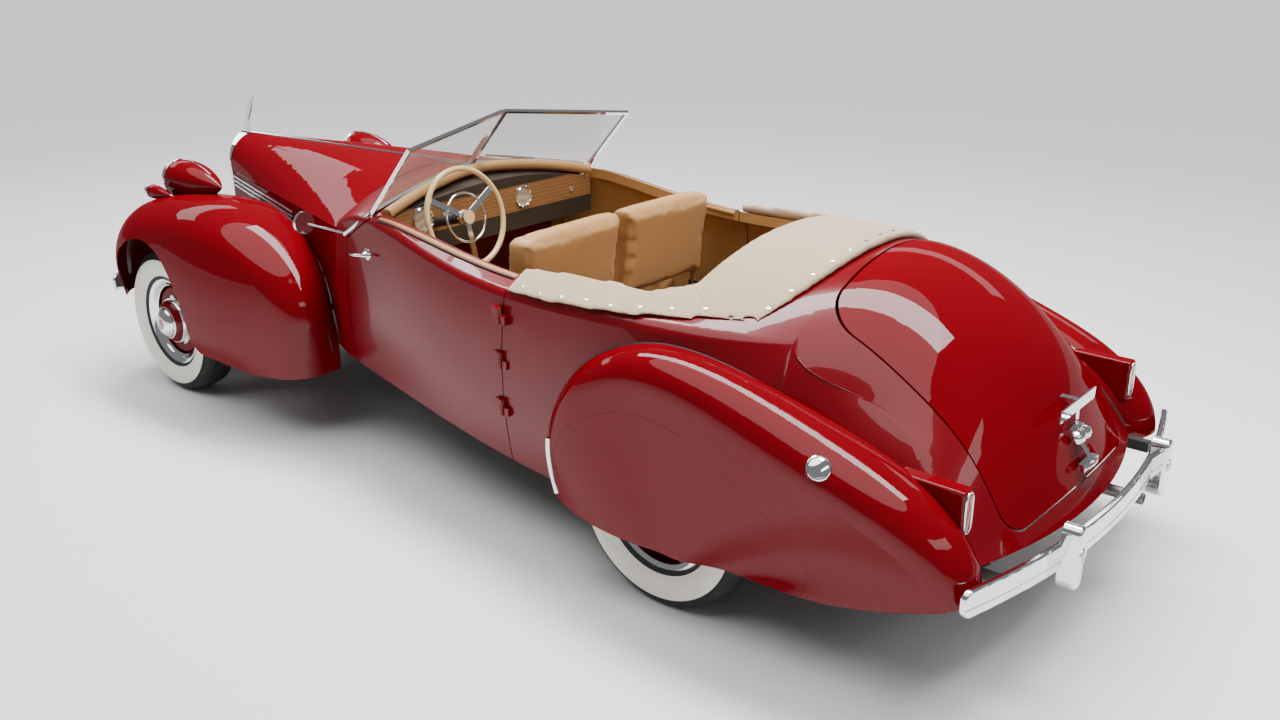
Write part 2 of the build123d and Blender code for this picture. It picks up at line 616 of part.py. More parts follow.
save(front_suspension, "front_suspension")
for name, side in (("knuckle_left", 1), ("knuckle_right", -1)):
    with BuildPart() as knuckle:
        block(side * (KINGPIN_X - 16), side * (KINGPIN_X + 16), FRONT_AXLE_Y - 26, FRONT_AXLE_Y + 26, KNUCKLE_LOW, KNUCKLE_TOP)
        rod((side * KINGPIN_X, FRONT_AXLE_Y, AXLE_Z), (side * (FRONT_TYRE_X + 40), FRONT_AXLE_Y, AXLE_Z), SPINDLE_R)
        rod((side * KINGPIN_X, FRONT_AXLE_Y, 0), (side * KINGPIN_X, FRONT_AXLE_Y, 600), KINGPIN_R + PIN_GAP, mode=Mode.SUBTRACT)
    save(knuckle, name)

# Chassis frame: two rails with a kick-up over the rear axle, crossmembers and the bumper irons
FRAME_FRONT = FRONT_AXLE_Y - 700
FRAME_REAR = FRONT_AXLE_Y + 4300
SHAFT_Z = 392
SHAFT_R = 34
IRON_X = 619
REAR_RAIL_TOP = REAR_FLOOR_Z - SEAT_GAP
RAIL_OUTLINE = [
    (FRAME_FRONT, RAIL_LOW),
    (REAR_AXLE_Y - 476, RAIL_LOW),
    (REAR_AXLE_Y - 296, RAIL_LOW + 120),
    (FRAME_REAR, RAIL_LOW + 120),
    (FRAME_REAR, REAR_RAIL_TOP),
    (REAR_AXLE_Y - 346, REAR_RAIL_TOP),
    (REAR_AXLE_Y - 526, RAIL_TOP),
    (FRAME_FRONT, RAIL_TOP),
]
REAR_BAR_Y = FRONT_AXLE_Y + 4470
FRONT_BAR_Y = FRONT_AXLE_Y - 790
JACK_Y = FRONT_AXLE_Y + 1000
JACK_PAD = 32
with BuildPart() as chassis_frame:
    with BuildSketch(side_plane(RAIL_IN)):
        with BuildLine():
            Polyline(RAIL_OUTLINE, close=True)
        make_face()
    extrude(amount=RAIL_OUT - RAIL_IN)
    mirror(about=Plane.YZ)
    block(-RAIL_IN, RAIL_IN, FRAME_FRONT, FRAME_FRONT + 60, RAIL_LOW, RAIL_TOP)
    block(-RAIL_IN, RAIL_IN, FRONT_AXLE_Y + 1340, FRONT_AXLE_Y + 1400, RAIL_LOW, RAIL_TOP)
    block(-RAIL_IN, RAIL_IN, REAR_AXLE_Y - 620, REAR_AXLE_Y - 560, RAIL_LOW, RAIL_TOP)
    block(-RAIL_IN, RAIL_IN, REAR_AXLE_Y - 220, REAR_AXLE_Y - 160, RAIL_TOP + 20, REAR_RAIL_TOP)
    block(-IRON_X - 18, IRON_X + 18, FRAME_REAR - 60, FRAME_REAR, RAIL_LOW + 95, RAIL_LOW + 146)
    rod((0, FRONT_AXLE_Y + 1300, SHAFT_Z), (0, REAR_AXLE_Y, SHAFT_Z), SHAFT_R + 16, mode=Mode.SUBTRACT)
    for side in (1, -1):
        block(side * (IRON_X - 18), side * (IRON_X + 18), FRAME_REAR - 30, REAR_BAR_Y - 62, RAIL_LOW + 95, RAIL_LOW + 135)
        block(side * RAIL_IN, side * RAIL_OUT, FRAME_FRONT + 5, FRONT_BAR_Y + 56, RAIL_TOP - 10, RAIL_TOP + 50)
        pad = side * (RAIL_IN + RAIL_OUT) / 2
        block(pad - JACK_PAD, pad + JACK_PAD, JACK_Y - JACK_PAD, JACK_Y + JACK_PAD, RAIL_LOW - 6, RAIL_LOW)
save(chassis_frame, "chassis_frame")

# Rear axle with its housing, drive shaft and leaf springs under the rails
AXLE_TUBE_R = 42
with BuildPart() as rear_axle:
    rod((-REAR_TYRE_X + 84, REAR_AXLE_Y, AXLE_Z), (REAR_TYRE_X - 84, REAR_AXLE_Y, AXLE_Z), AXLE_TUBE_R)
    rod((-REAR_TYRE_X - 40, REAR_AXLE_Y, AXLE_Z), (REAR_TYRE_X + 40, REAR_AXLE_Y, AXLE_Z), SPINDLE_R)
    with Locations((0, REAR_AXLE_Y, AXLE_Z)):
        Sphere(130)
    rod((0, FRONT_AXLE_Y + 1282, SHAFT_Z), (0, REAR_AXLE_Y, SHAFT_Z), SHAFT_R)
    with BuildSketch(side_plane(RAIL_IN + 2)):
        with BuildLine():
            ThreePointArc((-560, 318), (0, 300), (600, 438))
            Line((600, 438), (600, 412))
            ThreePointArc((600, 412), (0, 274), (-560, 292))
            Line((-560, 292), (-560, 318))
        make_face()
        with Locations((-560, RAIL_LOW - SEAT_GAP - 18), (600, RAIL_LOW + 120 - SEAT_GAP - 18)):
            Circle(18)
    springs = extrude(amount=RAIL_OUT - RAIL_IN - 4, mode=Mode.PRIVATE).moved(Location((0, REAR_AXLE_Y, 0)))
    add(springs)
    add(mirrored(springs))
    for side in (1, -1):
        block(side * (RAIL_IN + 2), side * (RAIL_OUT - 2), REAR_AXLE_Y - 50, REAR_AXLE_Y + 50, 280, AXLE_Z)
save(rear_axle, "rear_axle")

# Engine and gearbox, as one plain block on the frame
ENGINE_HALF = 150
with BuildPart() as engine_block:
    block(-ENGINE_HALF, ENGINE_HALF, FRONT_AXLE_Y - 160, FRONT_AXLE_Y + 820, 440, 980)
    block(-110, 110, FRONT_AXLE_Y + 820, FRONT_AXLE_Y + 1282 - SEAT_GAP, 330, 600)
    block(-RAIL_IN + SEAT_GAP, RAIL_IN - SEAT_GAP, FRONT_AXLE_Y + 380, FRONT_AXLE_Y + 440, 400, 440)
    block(-60, 60, FRONT_AXLE_Y + 380, FRONT_AXLE_Y + 440, 430, 460)
save(engine_block, "engine_block")

# Floor pan: flat between the doors, stepped up over the rear axle, with the seat bases' places flat
FLOOR_OUTLINE = [
    (FIREWALL_Y - FIREWALL, RAIL_TOP),
    (REAR_AXLE_Y - 526, RAIL_TOP),
    (REAR_AXLE_Y - 346, REAR_FLOOR_Z),
    (FRAME_REAR, REAR_FLOOR_Z),
    (FRAME_REAR, REAR_FLOOR_Z + FLOOR),
    (REAR_AXLE_Y - 352, REAR_FLOOR_Z + FLOOR),
    (REAR_AXLE_Y - 532, RAIL_TOP + FLOOR),
    (FIREWALL_Y - FIREWALL, RAIL_TOP + FLOOR),
]
with BuildPart() as floor_pan:
    with BuildSketch(side_plane(-900)):
        with BuildLine():
            Polyline(FLOOR_OUTLINE, close=True)
        make_face()
    extrude(amount=1800)
    add(body_form(CABIN_WALL + PANEL_GAP) + tail_form(SKIN + SEAT_GAP), mode=Mode.INTERSECT)
    house_clear = WHEELHOUSE_R + FLOOR + SEAT_GAP
    for side in (1, -1):
        rod((side * (WHEELHOUSE_X - SEAT_GAP), REAR_AXLE_Y, AXLE_Z), (side * 1000, REAR_AXLE_Y, AXLE_Z), house_clear, mode=Mode.SUBTRACT)
save(floor_pan, "floor_pan")

# Grille: a V-shaped shell with upright slots, and a plain streamlined ornament on its crown
GRILLE_NOSE = 90
GRILLE_SLOTS = 9
GRILLE_PITCH = 13
GRILLE_SLOT = 8
ORNAMENT = [(-72, 1188), (-10, 1188), (-14, 1260), (24, 1330), (60, 1400), (0, 1362), (-40, 1290)]
with BuildPart() as grille_shell:
    with BuildSketch(lean_plane(GRILLE_REAR, 0, 0)):
        with BuildLine():
            Polyline((-148, 1000), (-120, 430), (120, 430), (148, 1000))
            ThreePointArc((148, 1000), (107, 1139), (0, 1193))
            ThreePointArc((0, 1193), (-107, 1139), (-148, 1000))
        make_face()
    extrude(amount=FAR)
    with BuildSketch(Plane.XY):
        with BuildLine():
            Polyline((-170, GRILLE_REAR), (-170, GRILLE_REAR - 4), (0, GRILLE_REAR - GRILLE_NOSE))
            Polyline((0, GRILLE_REAR - GRILLE_NOSE), (170, GRILLE_REAR - 4), (170, GRILLE_REAR), (-170, GRILLE_REAR))
        make_face()
    extrude(amount=FAR, mode=Mode.INTERSECT)
with BuildPart() as grille:
    add(grille_shell)
    with BuildSketch(Plane.XY.offset(446)):
        with BuildLine():
            Polyline((-126, GRILLE_REAR + 5), (-126, GRILLE_REAR - 8), (0, GRILLE_REAR - GRILLE_NOSE + 16))
            Polyline((0, GRILLE_REAR - GRILLE_NOSE + 16), (126, GRILLE_REAR - 8), (126, GRILLE_REAR + 5))
            Line((126, GRILLE_REAR + 5), (-126, GRILLE_REAR + 5))
        make_face()
    extrude(amount=614, mode=Mode.SUBTRACT)
    slots = [GRILLE_PITCH * (turn + 0.5) - 2 for turn in range(GRILLE_SLOTS)]
    with Locations([(side * x, GRILLE_REAR - 60, 765) for x in slots for side in (1, -1)]):
        Box(GRILLE_SLOT, 130, 590, mode=Mode.SUBTRACT)
    with BuildSketch(side_plane(-4)):
        with BuildLine():
            Polyline([(GRILLE_REAR + y, z) for y, z in ORNAMENT], close=True)
        make_face()
    extrude(amount=8)
save(grille, "grille")

# Centre strip, from the grille shell over the hood's seam to the windshield's foot
PANE_LOW = (4, FRONT_AXLE_Y + 1401, 1223)
PANE_CORNER = (677, FRONT_AXLE_Y + 1537, 1137)
PANE_HEAD = (4, FRONT_AXLE_Y + 1660, 1507)
with BuildPart() as hood_strip:
    rod((0, GRILLE_REAR + SEAT_GAP, RIDGE_FRONT[2]), RIDGE_REAR, STRIP_R)
    rod(RIDGE_REAR, (0, PANE_LOW[1] - 24, RIDGE_REAR[2]), STRIP_R)
    add(hull_clear, mode=Mode.SUBTRACT)
save(hood_strip, "hood_strip")

# Windshield: two flat panes in a V, in one frame with a centre post, door posts and the outside mirror
FRAME_WIDE = 14
FRAME_THICK = 16
GLASS_THICK = 6
pane_along = Vector(*PANE_CORNER) - Vector(*PANE_LOW)
pane_up = Vector(*PANE_HEAD) - Vector(*PANE_LOW)
PANE = Plane(origin=PANE_LOW, x_dir=pane_along, z_dir=pane_along.cross(pane_up))
PANE_OUTLINE = [(0, 0), (692, 0), (707, 407), (16, 384)]
MIRROR_HEAD = (860, FRONT_AXLE_Y + 1318, 1102)
with BuildPart() as pane_hole:
    with BuildSketch(PANE) as pane_opening:
        with BuildLine():
            ThreePointArc((FRAME_WIDE, 30), (346, 54), (692 - FRAME_WIDE, 20))
            Polyline((692 - FRAME_WIDE, 20), (707 - FRAME_WIDE, 393), (FRAME_WIDE + 15, 371), (FRAME_WIDE, 30))
        make_face()
    extrude(amount=FRAME_THICK, both=True)
with BuildPart() as windshield_frame:
    with BuildSketch(PANE):
        with BuildLine():
            Polyline(PANE_OUTLINE, close=True)
        make_face()
    extrude(amount=FRAME_THICK / 2, both=True)
    add(pane_hole, mode=Mode.SUBTRACT)
    rod((690, FRONT_AXLE_Y + 1360, 1026), (678, FRONT_AXLE_Y + 1531, 1143), 9)
    mirror(about=Plane.YZ)
    rod((690, FRONT_AXLE_Y + 1362, 1030), MIRROR_HEAD, 5)
    rod(Vector(*MIRROR_HEAD) - (0, 8, 0), Vector(*MIRROR_HEAD) + (0, 8, 0), 48)
    add(hull_clear, mode=Mode.SUBTRACT)
save(windshield_frame, "windshield_frame")
with BuildPart() as windshield_glass:
    with BuildSketch(PANE):
        add(pane_opening.sketch_local)
        offset(amount=-SEAT_GAP, kind=Kind.INTERSECTION)
    extrude(amount=GLASS_THICK / 2, both=True)
    mirror(about=Plane.YZ)
save(windshield_glass, "windshield_glass")

# Dashboard, and the steering column that it carries
COLUMN_HEAD = Vector(370, FRONT_AXLE_Y + 1789, 1108)
COLUMN_AXIS = Vector(0, 0.965, 0.261).normalized()
COLUMN_R = 20
COLUMN_PIN_R = 8
COLUMN_LENGTH = 600
DASH_FACE_Y = FRONT_AXLE_Y + 1585
with BuildPart() as dashboard:
    block(-640, 640, FRONT_AXLE_Y + 1400, DASH_FACE_Y, 930, 1300)
    add(body_form(CABIN_WALL + SEAT_GAP), mode=Mode.INTERSECT)
    rod(COLUMN_HEAD - COLUMN_AXIS * COLUMN_LENGTH, COLUMN_HEAD, COLUMN_R + PIN_GAP, mode=Mode.SUBTRACT)
save(dashboard, "dashboard")
with BuildPart() as steering_column:
    rod(COLUMN_HEAD - COLUMN_AXIS * COLUMN_LENGTH, COLUMN_HEAD - COLUMN_AXIS * (COLUMN_R + PIN_GAP), COLUMN_R)
    rod(COLUMN_HEAD - COLUMN_AXIS * 100, COLUMN_HEAD - COLUMN_AXIS * 8, COLUMN_PIN_R)
    block(-FAR, FAR, -FAR, FIREWALL_Y + SEAT_GAP, -FAR, FAR, mode=Mode.SUBTRACT)
save(steering_column, "steering_column")
with BuildPart(Plane(origin=COLUMN_HEAD, x_dir=(1, 0, 0), z_dir=COLUMN_AXIS)) as steering_wheel:
    Torus(208, 12)
    Torus(105, 5)
    Cylinder(34, 2 * COLUMN_R)
    with PolarLocations(110, 3, start_angle=90):
        Box(192, 26, 8)
    with Locations((0, 0, -COLUMN_R)):
        Cylinder(COLUMN_PIN_R + PIN_GAP, 30, mode=Mode.SUBTRACT)
save(steering_wheel, "steering_wheel")

# Front seat: a bench on a base, with two backs that tip forward on a rod
SEAT_HALF = 575
SEAT_PIVOT_Y = FRONT_AXLE_Y + 2300
SEAT_PIVOT_Z = 690
SEAT_ROD_R = 8
LUG = 10
SEAT_BACK_GAP = 20
SEAT_FRONT = FRONT_AXLE_Y + 1850
SEAT_BASE_Z = 560
CUSHION_REAR = SEAT_PIVOT_Y - 115
SEAT_BACK_OUTLINE = [(-80, 62), (25, 62), (48, 250), (74, 445), (58, 476), (10, 478), (-28, 450), (-62, 250)]
LUG_OUTLINE = [(-14, 0), (-30, 80), (30, 80), (14, 0)]
with BuildPart() as seat_frame:
    base_low = RAIL_TOP + FLOOR + SEAT_GAP
    block(-SEAT_HALF - 20, SEAT_HALF + 20, SEAT_FRONT + 25, SEAT_PIVOT_Y + 20, base_low, SEAT_BASE_Z - SEAT_GAP)
    for x0, x1 in ((-SEAT_HALF - 20, -SEAT_HALF - 8), (-6, 6), (SEAT_HALF + 8, SEAT_HALF + 20)):
        block(x0, x1, SEAT_PIVOT_Y - 40, SEAT_PIVOT_Y + 20, base_low, SEAT_PIVOT_Z + 16)
    rod((-SEAT_HALF - 20, SEAT_PIVOT_Y, SEAT_PIVOT_Z), (SEAT_HALF + 20, SEAT_PIVOT_Y, SEAT_PIVOT_Z), SEAT_ROD_R)
save(seat_frame, "seat_frame")
with BuildPart() as seat_cushion:
    block(-600, 600, SEAT_FRONT, CUSHION_REAR, SEAT_BASE_Z, 740)
    fillet(seat_cushion.edges().filter_by(Axis.X), 30)
save(seat_cushion, "seat_cushion")
with BuildPart() as seat_back_left:
    with BuildSketch(side_plane(SEAT_BACK_GAP)):
        with BuildLine():
            Polyline([(SEAT_PIVOT_Y + y, SEAT_PIVOT_Z + z) for y, z in SEAT_BACK_OUTLINE], close=True)
        make_face()
    extrude(amount=SEAT_HALF + 25 - SEAT_BACK_GAP)
    with BuildSketch(Plane.XZ):
        with BuildLine():
            Line((0, 0), (0, 1160))
            ThreePointArc((0, 1160), (280, 1170), (550, 1152))
            TangentArc((550, 1152), (618, 1080), tangent=(1, -0.1))
            Polyline((618, 1080), (618, 0), (0, 0))
        make_face()
    extrude(amount=FAR, both=True, mode=Mode.INTERSECT)
    for x in (SEAT_BACK_GAP, SEAT_HALF - LUG):
        with BuildSketch(side_plane(x)):
            with BuildLine():
                Polyline([(SEAT_PIVOT_Y + y, SEAT_PIVOT_Z + z) for y, z in LUG_OUTLINE], close=True)
            make_face()
            with Locations((SEAT_PIVOT_Y, SEAT_PIVOT_Z)):
                Circle(18)
        extrude(amount=LUG)
    rod((0, SEAT_PIVOT_Y, SEAT_PIVOT_Z), (FAR, SEAT_PIVOT_Y, SEAT_PIVOT_Z), SEAT_ROD_R + PIN_GAP, mode=Mode.SUBTRACT)
save(seat_back_left, "seat_back_left")
with BuildPart() as seat_back_right:
    add(mirrored(seat_back_left.part))
save(seat_back_right, "seat_back_right")

# Rear seat, between the wheelhouses and against the bulkhead
REAR_SEAT_HALF = 560
with BuildPart() as rear_seat:
    rear_low = REAR_FLOOR_Z + FLOOR + SEAT_GAP
    block(-REAR_SEAT_HALF, REAR_SEAT_HALF, REAR_AXLE_Y - 470, BULKHEAD_Y - SEAT_GAP, rear_low, 740)
    block(-REAR_SEAT_HALF, REAR_SEAT_HALF, BULKHEAD_Y - 130, BULKHEAD_Y - SEAT_GAP, rear_low, 1030)
    add(body_form(CABIN_WALL + SEAT_GAP), mode=Mode.INTERSECT)
save(rear_seat, "rear_seat")

# Exhaust: a pipe from the engine's side under the left of the frame to a muffler, and out under the bumper
EXHAUST_R = 22
MUFFLER_R = 70
EXHAUST_X = -300
# Place from the front axle, and X and Z, of each corner of the pipe
EXHAUST_RUN = [
    (700, -ENGINE_HALF - SEAT_GAP, 500),
    (700, -210, 500),
    (820, EXHAUST_X, 300),
    (1600, EXHAUST_X, 300),
    (2300, EXHAUST_X, 300),
    (3650, EXHAUST_X, 300),
    (4150, EXHAUST_X, 392),
    (4500, EXHAUST_X, 392),
]
with BuildPart() as exhaust:
    corners = [(x, FRONT_AXLE_Y + y, z) for y, x, z in EXHAUST_RUN]
    for start, end in zip(corners, corners[1:]):
        rod(start, end, EXHAUST_R)
    with Locations(corners[1:-1]):
        Sphere(EXHAUST_R)
    rod(corners[3], corners[4], MUFFLER_R)
    rod(Vector(*corners[-1]) - (0, 300, 0), corners[-1], EXHAUST_R - 3, mode=Mode.SUBTRACT)
    for y, low, high in ((2400, 290, 400), (4000, 360, 500)):
        block(EXHAUST_X, -RAIL_IN + SEAT_GAP, FRONT_AXLE_Y + y - 10, FRONT_AXLE_Y + y + 10, low, high)
save(exhaust, "exhaust")

# Fuel tank, under the trunk's floor
with BuildPart() as fuel_tank:
    block(-200, 370, FRONT_AXLE_Y + 3700, FRONT_AXLE_Y + 4225, 400, REAR_FLOOR_Z - SEAT_GAP)
    fillet(fuel_tank.edges().filter_by(Axis.Y).group_by(Axis.Z)[0], 40)
save(fuel_tank, "fuel_tank")

# Lamps: headlamps and parking lamps on the front fenders, tail lamps and the fuel cap on the rear ones
HEADLAMP = (560, 1047)
HEADLAMP_R = 98
LENS_R = 88
HEADLAMP_FACE = FRONT_AXLE_Y - 201
# Place across, front face, height, radius and length of the headlamp's and the parking lamp's pod
LAMP_PODS = [(*HEADLAMP[:1], HEADLAMP_FACE, HEADLAMP[1], HEADLAMP_R, 390), (720, FRONT_AXLE_Y - 215, 1003, 34, 190)]
TAIL_LAMP_OUTLINE = [(4284, 742), (4284, 596), (4220, 560), (4060, 640), (4060, 745)]
front_fender_clear = fender_form(FRONT_FENDER, FRONT_PIVOT, FRONT_EYE, -SEAT_GAP)
rear_fender_clear = fender_form(REAR_FENDER, REAR_PIVOT, REAR_EYE, -SEAT_GAP)
with BuildPart() as front_lamps:
    x, z = HEADLAMP
    for lamp_x, face, lamp_z, radius, length in LAMP_PODS:
        with BuildSketch(side_plane(lamp_x)):
            with BuildLine():
                Line((face, lamp_z), (face, lamp_z + radius))
                ThreePointArc(
                    (face, lamp_z + radius),
                    (face + length * 0.52, lamp_z + radius * 0.87),
                    (face + length, lamp_z),
                )
                Line((face + length, lamp_z), (face, lamp_z))
            make_face()
        revolve(axis=Axis((lamp_x, face, lamp_z), (0, 1, 0)))
    rod((x, HEADLAMP_FACE, z), (x, HEADLAMP_FACE + 12, z), LENS_R + SEAT_GAP, mode=Mode.SUBTRACT)
    add(front_fender_clear, mode=Mode.SUBTRACT)
    mirror(about=Plane.YZ)
save(front_lamps, "front_lamps")
with BuildPart() as lamp_lenses:
    rod((x, HEADLAMP_FACE - 8, z), (x, HEADLAMP_FACE + 12 - SEAT_GAP, z), LENS_R)
    fillet(lamp_lenses.edges().group_by(Axis.Y)[0], 12)
    mirror(about=Plane.YZ)
save(lamp_lenses, "lamp_lenses")
with BuildPart() as tail_lamps:
    with BuildSketch(side_plane(670)):
        with BuildLine():
            Polyline([(FRONT_AXLE_Y + y, z) for y, z in TAIL_LAMP_OUTLINE], close=True)
        make_face()
    extrude(amount=60)
    fillet(tail_lamps.edges(), 9)
    add(rear_fender_clear, mode=Mode.SUBTRACT)
    add(hull_clear, mode=Mode.SUBTRACT)
    mirror(about=Plane.YZ)
save(tail_lamps, "tail_lamps")
with BuildPart() as fuel_cap:
    rod((880, REAR_AXLE_Y + 641, 738), (926, REAR_AXLE_Y + 683, 781), 38)
    add(rear_fender_clear, mode=Mode.SUBTRACT)
save(fuel_cap, "fuel_cap")

# Bumpers: curved bars with guards, on the frame's irons
BUMPER = 25
BUMPER_LOW = 432
BUMPER_HIGH = 522
BAR_CORNER = 30
GUARD = 30
GUARD_Z = 481
GUARD_HALF = 109
# Bar's end and middle, guard's place, iron's place
FRONT_BAR = ((850, FRONT_AXLE_Y - 529), (0, FRONT_AXLE_Y - 836))
REAR_BAR = ((884, FRONT_AXLE_Y + 4384), (0, FRONT_AXLE_Y + 4514))


def bar_form(bar, side, near, far, low, high):
    """A curved bar between two depths behind the bumper's face and two heights."""
    (end_x, end_y), (middle_x, middle_y) = bar
    with BuildPart() as form:
        with BuildSketch(Plane.XY.offset(low)):
            with BuildLine():
                ThreePointArc(
                    (end_x, end_y - side * near),
                    (middle_x, middle_y - side * near),
                    (-end_x, end_y - side * near),
                )
                Line((-end_x, end_y - side * near), (-end_x, end_y - side * far))
                ThreePointArc(
                    (-end_x, end_y - side * far),
                    (middle_x, middle_y - side * far),
                    (end_x, end_y - side * far),
                )
                Line((end_x, end_y - side * far), (end_x, end_y - side * near))
            make_face()
        extrude(amount=high - low)
    return form.part


for name, bar, side, guard_x, guard_y, iron, iron_y, iron_z in (
    ("front_bumper", FRONT_BAR, -1, 260, FRONT_AXLE_Y - 850, 405, FRONT_BAR_Y + 56, 470),
    ("rear_bumper", REAR_BAR, 1, 411, FRONT_AXLE_Y + 4536, IRON_X, REAR_BAR_Y - 62, 455),
):
    with BuildPart() as guard:
        with BuildSketch(Plane(origin=(guard_x, guard_y, GUARD_Z), x_dir=(1, 0, 0), z_dir=(0, side, 0))):
            SlotOverall(2 * GUARD_HALF, 2 * GUARD, rotation=90)
        extrude(amount=-60)
        fillet(guard.edges().group_by(Axis.Y)[-1 if side > 0 else 0], 14)
    with BuildPart() as bumper:
        add(bar_form(bar, side, 0, BUMPER, BUMPER_LOW, BUMPER_HIGH))
        fillet(bumper.edges().filter_by(Axis.Y), BAR_CORNER)
        fillet(bumper.edges().filter_by(GeomType.CIRCLE).group_by(SortBy.LENGTH)[-1], 8)
        add(bar_form(bar, side, -1, 4, BUMPER_LOW + 30, BUMPER_LOW + 35), mode=Mode.SUBTRACT)
        add(guard)
        add(mirrored(guard.part))
        for hand in (1, -1):
            inner = hand * iron - 16
            block(inner, inner + 32, iron_y + side * SEAT_GAP, iron_y + side * 28, iron_z - 16, iron_z + 16)
    save(bumper, name)

# Number-plate bracket on the trunk lid, with its lamp and the lid's handle on one spine
PLATE_SLOT_SPAN = 178
PLATE_Y = FRONT_AXLE_Y + 4330
PLATE_SLOT_Z = 800
SPINE_OUTLINE = [(4200, 820), (4328, 820), (4334, 700), (4398, 622), (4398, 590), (4340, 590), (4200, 760)]
with BuildPart() as plate_bracket:
    with BuildSketch(side_plane(-14)):
        with BuildLine():
            Polyline([(FRONT_AXLE_Y + y, z) for y, z in SPINE_OUTLINE], close=True)
        make_face()
    extrude(amount=28)
    block(-60, 60, FRONT_AXLE_Y + 4374, FRONT_AXLE_Y + 4398, 596, 620)
    block(-46, 46, FRONT_AXLE_Y + 4300, PLATE_Y + 10, 696, 724)
    add(hull_clear, mode=Mode.SUBTRACT)
    block(-150, 150, PLATE_Y - 5, PLATE_Y, 780, 820)
    with BuildSketch(Plane(origin=(0, PLATE_Y + 5, PLATE_SLOT_Z), x_dir=(1, 0, 0), z_dir=(0, 1, 0))):
        with Locations((PLATE_SLOT_SPAN / 2, 0), (-PLATE_SLOT_SPAN / 2, 0)):
            SlotOverall(20, 8)
    extrude(amount=-20, mode=Mode.SUBTRACT)
save(plate_bracket, "plate_bracket")
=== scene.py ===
import bpy
import json
from math import cos, pi, radians, sin
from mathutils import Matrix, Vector

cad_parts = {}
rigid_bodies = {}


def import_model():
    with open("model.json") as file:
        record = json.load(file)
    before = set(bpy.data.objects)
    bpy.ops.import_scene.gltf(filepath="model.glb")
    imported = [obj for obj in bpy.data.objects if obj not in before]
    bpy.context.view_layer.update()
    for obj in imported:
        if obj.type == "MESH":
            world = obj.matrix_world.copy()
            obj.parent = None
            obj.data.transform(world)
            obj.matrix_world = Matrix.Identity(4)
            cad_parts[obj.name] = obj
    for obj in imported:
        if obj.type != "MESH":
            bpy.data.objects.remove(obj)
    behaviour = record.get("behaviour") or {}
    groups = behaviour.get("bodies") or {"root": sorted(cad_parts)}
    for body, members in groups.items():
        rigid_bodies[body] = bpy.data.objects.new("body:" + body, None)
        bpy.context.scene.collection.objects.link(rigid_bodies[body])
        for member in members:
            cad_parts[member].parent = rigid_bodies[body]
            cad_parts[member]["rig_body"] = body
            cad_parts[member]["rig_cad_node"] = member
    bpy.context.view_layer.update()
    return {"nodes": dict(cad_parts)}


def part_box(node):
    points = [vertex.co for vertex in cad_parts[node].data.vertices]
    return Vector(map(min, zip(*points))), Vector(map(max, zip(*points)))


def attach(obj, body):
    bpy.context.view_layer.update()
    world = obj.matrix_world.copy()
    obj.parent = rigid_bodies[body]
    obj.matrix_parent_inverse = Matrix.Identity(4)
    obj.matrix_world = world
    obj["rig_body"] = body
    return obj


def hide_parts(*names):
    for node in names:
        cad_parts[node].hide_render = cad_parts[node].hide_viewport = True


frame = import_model()
nodes = frame["nodes"]

# Studio: a pale seamless floor under one long soft box, with weaker boxes to the right, behind and in
# front, and a wide wash from the ceiling. The camera stands off the car's left rear corner, above the
# fender, as in the photo.
CAMERA_PLACE = (3.64484, 3.65946, 2.27624)
CAMERA_DIP, CAMERA_TURN = 20.395, 129.96
bpy.ops.object.select_all(action="DESELECT")
bpy.ops.mesh.primitive_plane_add(size=160)
floor = bpy.context.object
floor.name = "studio_floor"
bpy.ops.object.camera_add(
    location=CAMERA_PLACE, rotation=(radians(90 - CAMERA_DIP), 0, radians(CAMERA_TURN)))
camera = bpy.context.object
camera.data.lens = 32.847
camera.data.sensor_width = 36
camera.data.clip_end = 300
bpy.context.scene.camera = camera
for name, place, turn, size, watts in (
    ("soft_box_top", (-0.3, 0.4, 4.8), (0, radians(-3), 0), (1.1, 7.5), 640),
    ("soft_box_right", (-6.0, 0.0, 4.0), (0, radians(-56), 0), (0.8, 6.0), 60),
    ("soft_box_rear", (1.2, 6.6, 3.6), (radians(-60), 0, 0), (4.0, 0.8), 45),
    ("soft_box_front", (-0.6, -7.0, 3.8), (radians(60), 0, 0), (4.0, 0.8), 60),
):
    bpy.ops.object.light_add(type="AREA", location=place, rotation=turn)
    lamp = bpy.context.object
    lamp.name = name
    lamp.data.shape = "RECTANGLE"
    lamp.data.size, lamp.data.size_y = size
    lamp.data.energy = watts
bpy.ops.object.light_add(type="SUN", location=(0, 0, 8), rotation=(radians(6), radians(8), 0))
bpy.context.object.name = "ceiling_wash"
bpy.context.object.data.energy = 3.2
bpy.context.object.data.angle = radians(70)
world = bpy.data.worlds.new("studio_air")
world.use_nodes = True
world.node_tree.nodes["Background"].inputs["Color"].default_value = (0.86, 0.86, 0.87, 1)
world.node_tree.nodes["Background"].inputs["Strength"].default_value = 0.26
bpy.context.scene.world = world


class Wire:
    """A shader socket that takes part in sums and products."""

    def __init__(self, finish, socket):
        self.finish, self.socket = finish, socket

    def sum(self, operation, first, second):
        return self.finish.node("ShaderNodeMath", {"operation": operation}, {0: first, 1: second})

    def __add__(self, other):
        return self.sum("ADD", self, other)

    def __mul__(self, other):
        return self.sum("MULTIPLY", self, other)

    def __gt__(self, other):
        return self.sum("GREATER_THAN", self, other)

    def __lt__(self, other):
        return self.sum("LESS_THAN", self, other)

    def __rsub__(self, other):
        return self.sum("SUBTRACT", other, self)

    __radd__ = __add__
    __rmul__ = __mul__


